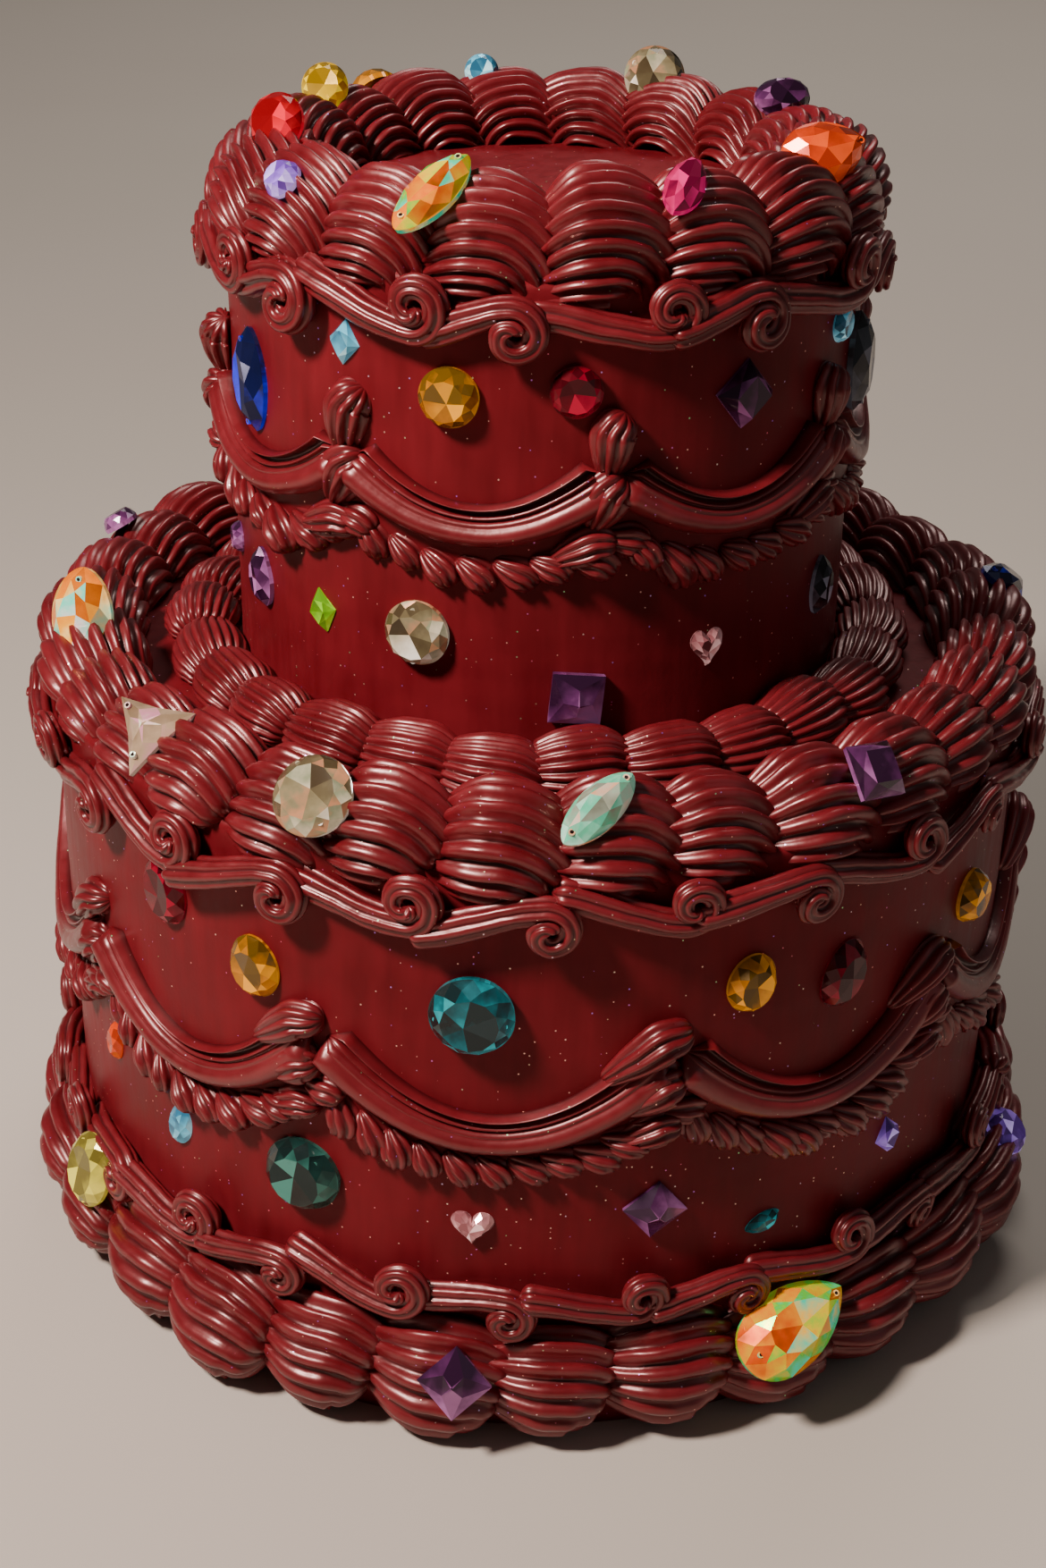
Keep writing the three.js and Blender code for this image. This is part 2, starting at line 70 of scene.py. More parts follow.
# ---- iced tiers ----
# Two sponge tiers, a 10 inch one under a 6 inch one, coated in buttercream that was pulled smooth
# with a scraper. The coat is satin, with faint streaks and ripples and a dusting of fine glitter.
tiers = {
    "bottom_tier": {"radius": 127 * mm, "base": 0.0, "top": 159 * mm},
    "top_tier": {"radius": 78 * mm, "base": 159.3 * mm, "top": 277 * mm},
}
wall_columns = 300
wall_row = 2.2 * mm
rim = 1.6 * mm
lid_rings = (0.9, 0.75, 0.6, 0.45, 0.3, 0.15)
ripple = 0.35 * mm
lid_ripple = 0.5 * mm
burgundy = (0.098, 0.0042, 0.007, 1)
# the darker burgundy that is painted into the grooves of piped icing as shade
groove_shade_burgundy = (0.045, 0.0019, 0.0034, 1)
rosy_burgundy = (0.15, 0.0078, 0.0125, 1)
glitter = [(0.0, (0.95, 0.5, 0.42, 1)), (0.35, (0.9, 0.75, 0.6, 1)), (0.6, (0.45, 0.2, 0.95, 1)),
           (0.8, (0.9, 0.2, 0.3, 1)), (1.0, (0.3, 0.85, 0.4, 1))]
glitter_cells = 850
cells_without_glitter = 0.91
fleck_radius = 0.17
cloud_scale, streak_scale, grain_scale = 38, 260, 900


class Value:
    """A socket of a node tree. Arithmetic on it adds Math nodes to the tree."""

    def __init__(self, tree, socket):
        self.tree = tree
        self.socket = socket

    def math(self, operation, *others):
        return self.tree.add("ShaderNodeMath", {"operation": operation}, dict(enumerate((self, *others))))

    def out(self, name):
        return Value(self.tree, self.socket.node.outputs[name])

    def __add__(self, other):
        return self.math("ADD", other)

    def __mul__(self, other):
        return self.math("MULTIPLY", other)

    def __sub__(self, other):
        return self.math("SUBTRACT", other)

    def __truediv__(self, other):
        return self.math("DIVIDE", other)

    def __pow__(self, other):
        return self.math("POWER", other)

    def __rsub__(self, other):
        return self * -1 + other

    __radd__ = __add__
    __rmul__ = __mul__


class Tree:
    """A node tree. add() takes a node's type, its settings, and the values or links of its sockets."""

    def __init__(self, group):
        self.group = group

    def add(self, kind, settings=None, values=None, out=0):
        node = self.group.nodes.new(kind)
        for name, setting in (settings or {}).items():
            if name == "stops":
                ramp = node.color_ramp
                while len(ramp.elements) < len(setting):
                    ramp.elements.new(1)
                for element, (place, colour) in zip(ramp.elements, setting):
                    element.position = place
                    element.color = colour
            else:
                setattr(node, name, setting)
        for key, value in (values or {}).items():
            if isinstance(value, Value):
                self.group.links.new(value.socket, node.inputs[key])
            else:
                node.inputs[key].default_value = value
        return Value(self, node.outputs[out]) if len(node.outputs) else None

    def mix(self, share, one, other):
        return self.add("ShaderNodeMix", {"data_type": "RGBA"}, {0: share, 6: one, 7: other}, out=2)

    def noise(self, vector, scale, detail=2.0, stretch=(1, 1, 1)):
        placed = self.add("ShaderNodeMapping", None, {"Vector": vector, "Scale": stretch})
        return self.add("ShaderNodeTexNoise", None, {"Vector": placed, "Scale": scale, "Detail": detail})

    def band(self, value, low, high):
        """0 below low, 1 above high."""
        return self.add("ShaderNodeMapRange", None, {"Value": value, "From Min": low, "From Max": high})


def icing_material(name, roughness, streaks, specular, coat, shade_grooves):
    """Buttercream with cloudy colour and fine streaks, which are stretched by the given factors."""
    material = bpy.data.materials.new(name)
    material.use_nodes = True
    tree = Tree(material.node_tree)
    skin = material.node_tree.nodes["Principled BSDF"]
    place = tree.add("ShaderNodeTexCoord", out="Object")

    # colour: slow cloudiness, fine streaks, and painted shade in the grooves between piped ridges
    cloud = tree.noise(place, cloud_scale, 3)
    smear = tree.noise(place, streak_scale, 2, streaks)
    tone = tree.band(cloud * 0.65 + smear * 0.35, 0.36, 0.64)
    colour = tree.mix(tone, burgundy, rosy_burgundy)
    # painted shade: where the ridge measure is low, in the grooves, the colour is mixed towards a darker
    # burgundy
    if shade_grooves:
        ridge = tree.add("ShaderNodeAttribute", {"attribute_name": "ridge"}, out="Fac")
        colour = tree.mix(tree.band(ridge, 0.0, 0.6), groove_shade_burgundy, colour)

    # nine cells in a hundred hold one small bright fleck of glitter
    cells = tree.add("ShaderNodeTexVoronoi", None, {"Vector": place, "Scale": glitter_cells})
    draw = tree.add("ShaderNodeSeparateColor", None, {0: cells.out("Color")})
    held = draw.math("GREATER_THAN", cells_without_glitter)
    fleck = cells.math("LESS_THAN", fleck_radius) * held
    fleck_colour = tree.add("ShaderNodeValToRGB", {"stops": glitter}, {0: draw.out("Green")})
    tree.group.links.new(tree.mix(fleck, colour, fleck_colour).socket, skin.inputs["Base Color"])
    tree.group.links.new((fleck * 0.9).socket, skin.inputs["Metallic"])

    rough = (roughness + (smear - 0.5) * 0.22 + (cloud - 0.5) * 0.18).math("MAXIMUM", 0.08)
    tree.group.links.new(rough.socket, skin.inputs["Roughness"])
    grain = tree.noise(place, grain_scale, 3)
    relief = smear * 0.7 + grain * 0.3
    bump = tree.add("ShaderNodeBump", None, {"Strength": 0.16, "Distance": 0.6 * mm, "Height": relief})
    tree.group.links.new(bump.socket, skin.inputs["Normal"])
    skin.inputs["Subsurface Weight"].default_value = 0.12
    skin.inputs["Subsurface Radius"].default_value = (1.0, 0.25, 0.2)
    skin.inputs["Subsurface Scale"].default_value = 2.5 * mm
    skin.inputs["Specular IOR Level"].default_value = specular
    skin.inputs["Specular Tint"].default_value = (1, 0.6, 0.58, 1)
    skin.inputs["Coat Weight"].default_value = coat
    skin.inputs["Coat Roughness"].default_value = 0.2
    return material


def around(angle, radius, height):
    """The place at an angle round the cake, a distance from its middle and a height."""
    turn = math.radians(angle)
    return Vector((radius * math.sin(turn), -radius * math.cos(turn), height))


def keep_piece(name, mesh, material, slot, *nodes):
    """A finished mesh as a piece of the cake, standing for the CAD nodes that are named. Without a
    material given, the mesh keeps the one that it has."""
    piece = bpy.data.objects.new(name, mesh)
    scene.collection.objects.link(piece)
    if material:
        mesh.materials.clear()
        mesh.materials.append(material)
    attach(piece, "root")
    if nodes:
        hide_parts(*nodes)


def wall_ripple(angle, height):
    """Low relief that the scraper leaves: slow waves round the wall and faint lines across it."""
    spot = around(angle, 1.0, height * 14)
    slow = noise.noise(spot * 1.7)
    lines = noise.noise(Vector((spot.x * 0.8, spot.y * 0.8, height * 240)))
    return ripple * (slow - 0.3 + 0.35 * lines)


def tier_mesh(name, tier):
    """A closed drum: a rippled wall between two ends, and a lid that is a little uneven."""
    base, top = tier["base"], tier["top"]
    rim_share = rim / tier["radius"]
    steps = round((top - base) / wall_row)
    underside = [(0.5, base), (1.0, base)]
    wall = [(1.0, base + (top - rim - base) * step / steps) for step in range(1, steps + 1)]
    shoulder = [(1.0 - rim_share * 0.3, top - 0.4 * rim), (1.0 - rim_share, top)]
    lid = [(share, top) for share in lid_rings]
    drum = bmesh.new()
    rings = []
    for share, height in underside + wall + shoulder + lid:
        on_wall = share == 1.0 and height > base
        on_lid = share in lid_rings and height == top
        ring = []
        for column in range(wall_columns):
            angle = 360 * column / wall_columns
            radius = tier["radius"] * share + (wall_ripple(angle, height) if on_wall else 0)
            spot = around(angle, radius, height)
            if on_lid:
                spot.z -= lid_ripple * (0.5 + 0.5 * noise.noise(spot * 60))
            ring.append(drum.verts.new(spot))
        rings.append(ring)
    low = drum.verts.new((0, 0, base))
    high = drum.verts.new((0, 0, top - 0.2 * mm))
    for column in range(wall_columns):
        after = (column + 1) % wall_columns
        drum.faces.new((low, rings[0][after], rings[0][column]))
        for lower, upper in zip(rings, rings[1:]):
            drum.faces.new((lower[column], lower[after], upper[after], upper[column]))
        drum.faces.new((rings[-1][column], rings[-1][after], high))
    for face in drum.faces:
        face.smooth = True
    mesh = bpy.data.meshes.new(name)
    drum.to_mesh(mesh)
    drum.free()
    return mesh


wall_icing = icing_material("smooth_icing", 0.44, (1, 1, 0.16), specular=0.16, coat=0.0, shade_grooves=False)
for node, tier in tiers.items():
    keep_piece(node + "_icing", tier_mesh(node + "_icing", tier), wall_icing, "wall_icing", node)

# ---- shell borders ----
# Fat shells piped through a star nozzle, each started under the head of the one before it. They
# cap the edge of each tier, stand in the corner of the ledge and run round the foot of the cake.
points_per_ridge = 5
tip_share = 0.22
tail_share = 0.07
shell_lumps = 75.0
ridged_from, ridged_arc = math.radians(260), math.radians(290)
socket_kinds = {"Material": "NodeSocketMaterial", "Shells": "NodeSocketInt", "Ridges": "NodeSocketInt",
                "Steps": "NodeSocketInt", "Seed": "NodeSocketInt", "Count": "NodeSocketInt"}


class Shape(Tree):
    """A Geometry Nodes tree with named inputs, kept as a plain mesh by pipe()."""

    def __init__(self, name, inputs, path=False):
        super().__init__(bpy.data.node_groups.new(name, "GeometryNodeTree"))
        interface = self.group.interface
        if path:
            interface.new_socket("Path", in_out="INPUT", socket_type="NodeSocketGeometry")
        for title in inputs + ["Material"]:
            kind = socket_kinds.get(title, "NodeSocketFloat")
            interface.new_socket(title, in_out="INPUT", socket_type=kind)
        interface.new_socket("Geometry", in_out="OUTPUT", socket_type="NodeSocketGeometry")
        self.entry = self.group.nodes.new("NodeGroupInput")

    def given(self, title):
        return Value(self, self.entry.outputs[title])

    def point(self, x, y, z):
        return self.add("ShaderNodeCombineXYZ", None, {0: x, 1: y, 2: z})

    def position(self):
        spot = self.add("ShaderNodeSeparateXYZ", None, {0: self.add("GeometryNodeInputPosition")})
        return spot, spot.out("Y"), spot.out("Z")

    def move(self, geometry, position):
        return self.add("GeometryNodeSetPosition", None, {"Geometry": geometry, "Position": position})

    def shell(self, steps, ridges, depth, sizes):
        """One shell with its tail at 0, out along Y and up along Z, ridged all over but for its
        underside. Its spine runs along X, then bends down to the head by an angle in radians."""
        ridge_points = ridges * points_per_ridge
        around_it = ridge_points + 2
        ridged_share = ridge_points / (ridge_points + 1)
        sheet = self.add("GeometryNodeMeshGrid", None, {
            "Size X": 1.0, "Size Y": 1.0, "Vertices X": steps, "Vertices Y": around_it})
        across, along, _ = self.position()
        u = across + 0.5
        v = along + 0.5
        over = (v / ridged_share).math("MINIMUM", 1.0)
        under = (v - ridged_share).math("MAXIMUM", 0.0) / (1 - ridged_share)
        theta = ridged_from + over * ridged_arc + under * (2 * math.pi - ridged_arc)
        crest = (over * ridges * math.pi).math("SINE").math("ABSOLUTE") ** 0.9
        # the ridge measure is kept for the icing, which paints shade into the grooves between ridges
        sheet = self.add("GeometryNodeStoreNamedAttribute", None, {
            "Geometry": sheet, "Name": "ridge", "Value": crest})

        # along the spine: a level stretch, a bend, and the rounded end past it
        body = (u / (1 - tip_share)).math("MINIMUM", 1.0)
        rounding = (u - (1 - tip_share)).math("MAXIMUM", 0.0) / tip_share * (math.pi / 2)
        travelled = body * (sizes["straight"] + sizes["bend"] * sizes["bend radius"])
        bent = (travelled - sizes["straight"]).math("MAXIMUM", 0.0) / sizes["bend radius"]
        bent_share = bent / sizes["bend"]
        swell = ((travelled / sizes["full at"]).math("MINIMUM", 1.0) * (math.pi / 2)).math("SINE")
        start = (u / tail_share).math("MINIMUM", 1.0) ** 0.5
        narrowed = 1 - bent_share * bent_share * (1 - sizes["end"])
        swollen = sizes["tail"] + swell * (1 - sizes["tail"])
        size = swollen * start * narrowed * rounding.math("COSINE") ** 0.8
        tip = rounding.math("SINE") * sizes["tip"]
        forward, downward = bent.math("COSINE"), bent.math("SINE")
        level = travelled.math("MINIMUM", sizes["straight"])
        spine_x = level + sizes["bend radius"] * downward + tip * forward
        spine_z = sizes["bend radius"] * (forward - 1) - tip * downward + (swell - 1) * sizes["tail drop"]

        # across it: a star section, with its own reach to each side
        cut = 1 - depth * (1 - crest)
        sine, cosine = theta.math("SINE"), theta.math("COSINE")
        is_out, is_up = cosine.math("GREATER_THAN", 0.0), sine.math("GREATER_THAN", 0.0)
        across_reach = sizes["inward"] + is_out * (sizes["out"] - sizes["inward"])
        rise = (sizes["down"] + is_up * (sizes["up"] - sizes["down"])) * sine * size * cut
        x = spine_x + rise * downward
        y = across_reach * cosine * size * cut - (1 - swell) * sizes["tail inset"]
        z = spine_z + rise * forward
        shaped = self.move(sheet, self.point(x, y, z))
        return self.add("GeometryNodeMergeByDistance", None, {"Geometry": shaped, "Distance": 0.02 * mm})

    def scatter(self, points, piece, turn, least, most, seed, rotation=None):
        """The piece on every point, each copy a little turned and a little larger or smaller."""
        wobble = self.add("FunctionNodeRandomValue", {"data_type": "FLOAT_VECTOR"}, {
            0: (-turn, -turn, -turn), 1: (turn, turn, turn), "Seed": seed})
        if rotation:
            wobble = self.add("FunctionNodeRotateRotation", {"rotation_space": "LOCAL"}, {
                0: rotation, 1: wobble})
        size = self.add("FunctionNodeRandomValue", {"data_type": "FLOAT"}, {
            2: least, 3: most, "Seed": seed + 1}, out=1)
        copies = self.add("GeometryNodeInstanceOnPoints", None, {
            "Points": points, "Instance": piece, "Rotation": wobble, "Scale": size})
        return self.add("GeometryNodeRealizeInstances", None, {0: copies})

    def uneven(self, geometry, amount, lumps, seed):
        """Pushes the surface about by smooth noise, as soft icing never sets quite alike."""
        spot = self.add("GeometryNodeInputPosition")
        cloud = self.add("ShaderNodeTexNoise", {"noise_dimensions": "4D"}, {
            "Vector": spot, "W": seed * 1.7, "Scale": lumps, "Detail": 3.0}, out="Color")
        centred = self.add("ShaderNodeVectorMath", {"operation": "SUBTRACT"}, {0: cloud, 1: (0.5, 0.5, 0.5)})
        shift = self.add("ShaderNodeVectorMath", {"operation": "SCALE"}, {0: centred, "Scale": amount})
        return self.add("GeometryNodeSetPosition", None, {"Geometry": geometry, "Offset": shift})

    def wrap(self, geometry, radius, height, first, lean=0.0, up=1.0, floor=-1.0):
        """Bends a strip laid out along X round the cake. First is the angle at X = 0, in radians.
        The bend mirrors what it is given, so a strip goes in with its faces looking inwards."""
        x, y, z = self.position()
        angle = x / radius + first
        reach = y + radius
        tipped = (z / up).math("MAXIMUM", 0.0) * lean * angle.math("COSINE")
        level = (z + height + tipped).math("MAXIMUM", floor)
        rightward, backward = reach * angle.math("SINE"), reach * angle.math("COSINE") * -1
        return self.move(geometry, self.point(rightward, backward, level))

    def end(self, geometry):
        """Closes the tree: what is given becomes the shape, smooth and in its material."""
        solid = self.add("GeometryNodeRealizeInstances", None, {0: geometry})
        smooth = self.add("GeometryNodeSetShadeSmooth", None, {"Geometry": solid})
        coated = self.add("GeometryNodeSetMaterial", None, {
            "Geometry": smooth, "Material": self.given("Material")})
        self.add("NodeGroupOutput", None, {"Geometry": coated})


def pipe(name, shape, values, material, slot, *nodes, path=None):
    """Runs a shape's tree once and keeps what it makes as a plain mesh."""
    holder = bpy.data.objects.new(name, path or bpy.data.meshes.new(name + "_path"))
    scene.collection.objects.link(holder)
    piping = holder.modifiers.new("piping", "NODES")
    piping.node_group = shape.group
    for item in shape.group.interface.items_tree:
        if item.name == "Material":
            piping[item.identifier] = material
        elif item.in_out == "INPUT" and item.name in values:
            piping[item.identifier] = values[item.name]
    graph = bpy.context.evaluated_depsgraph_get()
    mesh = bpy.data.meshes.new_from_object(holder.evaluated_get(graph), depsgraph=graph)
    mesh.name = name
    bpy.data.objects.remove(holder)
    keep_piece(name, mesh, None, slot, *nodes)


# Out, Up, Inward and Down are how far a shell reaches to each side of its spine where it is full,
# Tail and End its size at the tail and at the head, as shares of that, and Bend is in radians. Lean
# is how much its crest is raised at the front of the cake and lowered at the back.
border_sizes = ["Out", "Up", "Inward", "Down", "Tail", "Full at", "Tail drop", "Tail inset", "Straight",
                "Bend", "Bend radius", "End", "Tip"]
border = Shape("shell_border", [
    "Shells", "First angle", "Radius", "Height", "Lean", "Steps", "Ridges", "Depth", "Unevenness", "Floor",
    "Seed"] + border_sizes)
pitch_length = border.given("Radius") * (2 * math.pi) / border.given("Shells")
sizes = {title.lower(): border.given(title) for title in border_sizes}
one_shell = border.shell(border.given("Steps"), border.given("Ridges"), border.given("Depth"), sizes)
row = border.add("GeometryNodeMeshLine", None, {
    "Count": border.given("Shells"), "Offset": border.point(pitch_length, 0.0, 0.0)})
strip = border.scatter(row, one_shell, turn=0.08, least=0.93, most=1.06, seed=border.given("Seed"))
strip = border.uneven(strip, border.given("Unevenness"), shell_lumps, border.given("Seed"))
border.end(border.wrap(strip, border.given("Radius"), border.given("Height"), border.given("First angle"),
                       border.given("Lean"), border.given("Up"), border.given("Floor")))

piped_icing = icing_material("piped_icing", 0.34, (1, 1, 1), specular=0.8, coat=0.07, shade_grooves=True)
shell_borders = {
    "crown_border": {
        "Shells": 18, "First angle": math.radians(-7), "Radius": 67 * mm, "Height": 279 * mm,
        "Lean": 3 * mm, "Steps": 44, "Ridges": 21, "Depth": 0.21, "Unevenness": 2.1 * mm, "Floor": 0.0,
        "Seed": 3, "Out": 15.6 * mm, "Up": 17 * mm, "Inward": 17 * mm, "Down": 13 * mm, "Tail": 0.4,
        "Full at": 17 * mm, "Tail drop": 8 * mm, "Tail inset": 5 * mm, "Straight": 19 * mm, "Bend": 1.3,
        "Bend radius": 8 * mm, "End": 0.78, "Tip": 5 * mm},
    "ledge_border": {
        "Shells": 30, "First angle": math.radians(-0.5), "Radius": 116 * mm, "Height": 160.5 * mm,
        "Lean": 2.5 * mm, "Steps": 34, "Ridges": 15, "Depth": 0.23, "Unevenness": 2.2 * mm, "Floor": 0.0,
        "Seed": 11, "Out": 15.6 * mm, "Up": 15.2 * mm, "Inward": 12.5 * mm, "Down": 12 * mm, "Tail": 0.5,
        "Full at": 16 * mm, "Tail drop": 4.5 * mm, "Tail inset": 3.5 * mm, "Straight": 18 * mm, "Bend": 0.8,
        "Bend radius": 10 * mm, "End": 0.85, "Tip": 5 * mm},
    "foot_border": {
        "Shells": 28, "First angle": math.radians(-5.5), "Radius": 128.5 * mm, "Height": 17.5 * mm,
        "Lean": 0.0, "Steps": 36, "Ridges": 13, "Depth": 0.25, "Unevenness": 2.2 * mm, "Floor": 0.0,
        "Seed": 23, "Out": 13.9 * mm, "Up": 18 * mm, "Inward": 10 * mm, "Down": 17 * mm, "Tail": 0.5,
        "Full at": 19 * mm, "Tail drop": 0.0, "Tail inset": 3.5 * mm, "Straight": 23 * mm, "Bend": 0.35,
        "Bend radius": 16 * mm, "End": 0.88, "Tip": 6 * mm},
    "collar_border": {
        "Shells": 27, "First angle": math.radians(-0.8), "Radius": 87.5 * mm, "Height": 163 * mm,
        "Lean": 0.0, "Steps": 30, "Ridges": 18, "Depth": 0.18, "Unevenness": 1.4 * mm,
        "Floor": tiers["top_tier"]["base"], "Seed": 31, "Out": 10.6 * mm, "Up": 10.4 * mm,
        "Inward": 10.5 * mm, "Down": 6 * mm, "Tail": 0.66, "Full at": 12 * mm, "Tail drop": 0.0,
        "Tail inset": 1 * mm, "Straight": 15 * mm, "Bend": 0.35, "Bend radius": 10 * mm, "End": 0.85,
        "Tip": 4 * mm},
}
for node, values in shell_borders.items():
    pipe(node + "_shells", border, values, piped_icing, "piped_icing", node)

# ---- scrolls under the borders ----
# A ropy string of S-scrolls follows the lower edge of the crown and the ledge and the upper edge of
# the foot. Each scroll starts behind the last, runs on and rolls up, one upwards and one downwards.
rope_points_per_ridge = 5
rope_steps = 84
run_share = 0.42
rope_groove = 0.32
rope_lumps = 110.0
rolled_in = 0.82
thinned = 0.48
scroll = Shape("scroll", [
    "Count", "First angle", "Radius", "Height", "Run", "From", "To", "Curl", "Turns", "Way", "Thickness",
    "Ridges", "Unevenness", "Seed"])

# the rope's middle line, from its tail at t = 0 through the run to the rolled-up eye at t = 1
rope = scroll.add("GeometryNodeMeshLine", None, {"Count": rope_steps, "Offset": (1, 0, 0)})
t = scroll.add("GeometryNodeInputIndex") / (rope_steps - 1)
run = (t / run_share).math("MINIMUM", 1.0)
rolled = (t - run_share).math("MAXIMUM", 0.0) / (1 - run_share)
eased = run * run * (3 - 2 * run)
angle = rolled * scroll.given("Turns") * (2 * math.pi)
curl = scroll.given("Curl") * (1 - rolled * rolled_in)
fall = scroll.given("To") - scroll.given("From")
x = (run - 1) * scroll.given("Run") + curl * angle.math("SINE")
rise = scroll.given("Curl") - curl * angle.math("COSINE")
z = scroll.given("From") + fall * eased + scroll.given("Way") * rise
y = rolled * scroll.given("Thickness") * 0.55 - (1 - run) * scroll.given("Thickness") * 0.35
rope = scroll.move(scroll.add("GeometryNodeMeshToCurve", None, {0: rope}), scroll.point(x, y, z))

# its fluted section, which gets finer from the tail to the eye and closes at both ends
tail = (t / 0.03).math("MINIMUM", 1.0) ** 0.5
eye_end = ((1 - t) / 0.05).math("MINIMUM", 1.0) ** 0.5
fine = (1.0 - thinned * t) * tail * eye_end
star = scroll.add("GeometryNodeCurvePrimitiveCircle", None, {
    "Resolution": scroll.given("Ridges") * rope_points_per_ridge, "Radius": scroll.given("Thickness")})
px, py, _ = scroll.position()
ridge = (py.math("ARCTAN2", px) * scroll.given("Ridges") * 0.5).math("SINE").math("ABSOLUTE") ** 0.62
# the ridge measure is kept for the icing, which paints shade into the rope's grooves
star = scroll.add("GeometryNodeStoreNamedAttribute", None, {
    "Geometry": star, "Name": "ridge", "Value": ridge})
fluted = 1 - rope_groove + rope_groove * ridge
star = scroll.move(star, scroll.point(px * fluted, py * fluted, 0.0))
rope = scroll.add("GeometryNodeCurveToMesh", None, {
    "Curve": rope, "Profile Curve": star, "Scale": fine, "Fill Caps": True})
rope = scroll.add("GeometryNodeFlipFaces", None, {0: rope})
scroll_pitch = scroll.given("Radius") * (2 * math.pi) / scroll.given("Count")
row = scroll.add("GeometryNodeMeshLine", None, {
    "Count": scroll.given("Count"), "Offset": scroll.point(scroll_pitch, 0.0, 0.0)})
strip = scroll.scatter(row, rope, turn=0.1, least=0.93, most=1.07, seed=scroll.given("Seed"))
strip = scroll.uneven(strip, scroll.given("Unevenness"), rope_lumps, scroll.given("Seed"))
scroll.end(scroll.wrap(strip, scroll.given("Radius"), scroll.given("Height"), scroll.given("First angle")))

# Per border: how many scrolls curl each way, where the first upward and downward eyes are, how low
# and how high the rope runs from its middle height, the rolls' radii and the rope's own radius.
scroll_sets = {
    "crown": {
        "count": 9, "radius": 81.5, "middle": 268.5, "up at": -20, "down at": -4.5, "low": -3.2, "high": 3.4,
        "up curl": 6.4, "down curl": 5.6, "thick": 4.5, "seed": 41},
    "ledge": {
        "count": 13, "radius": 130.5, "middle": 149.3, "up at": -12, "down at": 1.6, "low": -3.0, "high": 2.8,
        "up curl": 5.8, "down curl": 5.2, "thick": 4.1, "seed": 47},
    "foot": {
        "count": 14, "radius": 131.5, "middle": 41, "up at": -13.6, "down at": -1.6, "low": -3.0, "high": 2.2,
        "up curl": 6.0, "down curl": 5.2, "thick": 4.3, "seed": 53},
}
for place, of in scroll_sets.items():
    pitch_angle = 360 / of["count"]
    gap = of["down at"] - of["up at"]
    for way, at, reach, start, level, roll_size in (
        ("up", of["up at"], pitch_angle - gap, of["high"], of["low"], of["up curl"]),
        ("down", of["down at"], gap, of["low"], of["high"], of["down curl"]),
    ):
        values = {
            "Count": of["count"], "First angle": math.radians(at), "Radius": of["radius"] * mm,
            "Height": of["middle"] * mm, "Run": math.radians(reach) * of["radius"] * mm, "From": start * mm,
            "To": level * mm, "Curl": roll_size * mm, "Turns": 1.2, "Way": 1.0 if way == "up" else -1.0,
            "Thickness": of["thick"] * mm, "Ridges": 7, "Unevenness": 1.3 * mm,
            "Seed": of["seed"] + (way == "up"),
        }
        pipe(f"{place}_scrolls_{way}", scroll, values, piped_icing, "piped_icing")

# ---- garlands ----
# On each wall hang swags, each one pull of a flat nozzle: a fine bead, a channel, a double bead and
# a smooth band. A chain of little shells frills the lower edge, and shells stand over the joints.
band_profile_points = 110
swag_step = 2 * mm
band_lumps, frill_lumps, joint_lumps = 60.0, 160.0, 120.0
band_trim, frill_trim = 0.03, 0.05
# Drops are the joints from which the swags hang, and band and frill the heights at which each of
# the two starts at a joint and passes the middle of a swag.
garlands = {
    "top_garland": {
        "radius": tiers["top_tier"]["radius"], "band": (235, 220.9), "half": 4.9 * mm, "frill": (220, 212),
        "frill pitch": 7.8 * mm, "drops": [-82, -34.2, 12.2, 58.4, 102.6, 146.8, 191, 234.8], "seed": 61},
    "bottom_garland": {
        "radius": tiers["bottom_tier"]["radius"], "band": (112.5, 89.4), "half": 5.1 * mm,
        "frill": (97.5, 81.8), "frill pitch": 6.9 * mm,
        "drops": [-56.7, -22.9, 15.2, 50.6, 86.2, 121.8, 157.4, 193, 228.6, 264.2], "seed": 67},
}


def swag_path(name, garland, heights, trim):
    """A chain of points for each swag, laid out flat: X along the wall and Z up. Trim is the share
    of the swag that is left off at each end."""
    form = bmesh.new()
    radius, drops = garland["radius"], garland["drops"]
    for start, end in zip(drops, drops[1:] + [drops[0] + 360]):
        start, end = math.radians(start) * radius, math.radians(end) * radius
        steps = round((end - start) / swag_step)
        before = None
        for step in range(steps + 1):
            share = trim + (1 - 2 * trim) * step / steps
            sag = 4 * share * (1 - share)
            height = (heights[0] + (heights[1] - heights[0]) * sag) * mm
            spot = form.verts.new((start + (end - start) * share, 0, height))
            if before:
                form.edges.new((before, spot))
            before = spot
    mesh = bpy.data.meshes.new(name)
    form.to_mesh(mesh)
    form.free()
    return mesh


band = Shape("swag_band", ["Radius", "Half width", "Unevenness", "Seed"], path=True)
line = band.add("GeometryNodeMeshToCurve", None, {0: band.given("Path")})
line = band.add("GeometryNodeSetCurveNormal", {"mode": "FREE"}, {"Curve": line, "Normal": (0, 1, 0)})
share = band.add("GeometryNodeSplineParameter")
closed = (share * (1 - share) * 34).math("MINIMUM", 1.0) ** 0.5
taper = (1.3 - 0.3 * (share * math.pi).math("SINE")) * closed
profile = band.add("GeometryNodeCurvePrimitiveCircle", None, {
    "Resolution": band_profile_points, "Radius": 1.0})
px, py, _ = band.position()
lies_out = px.math("GREATER_THAN", 0.0)


def bead(at, width):
    """A raised line along the band, with its middle at a share of the half width."""
    off = (py - at) / width
    return (off * off * -1).math("EXPONENT")


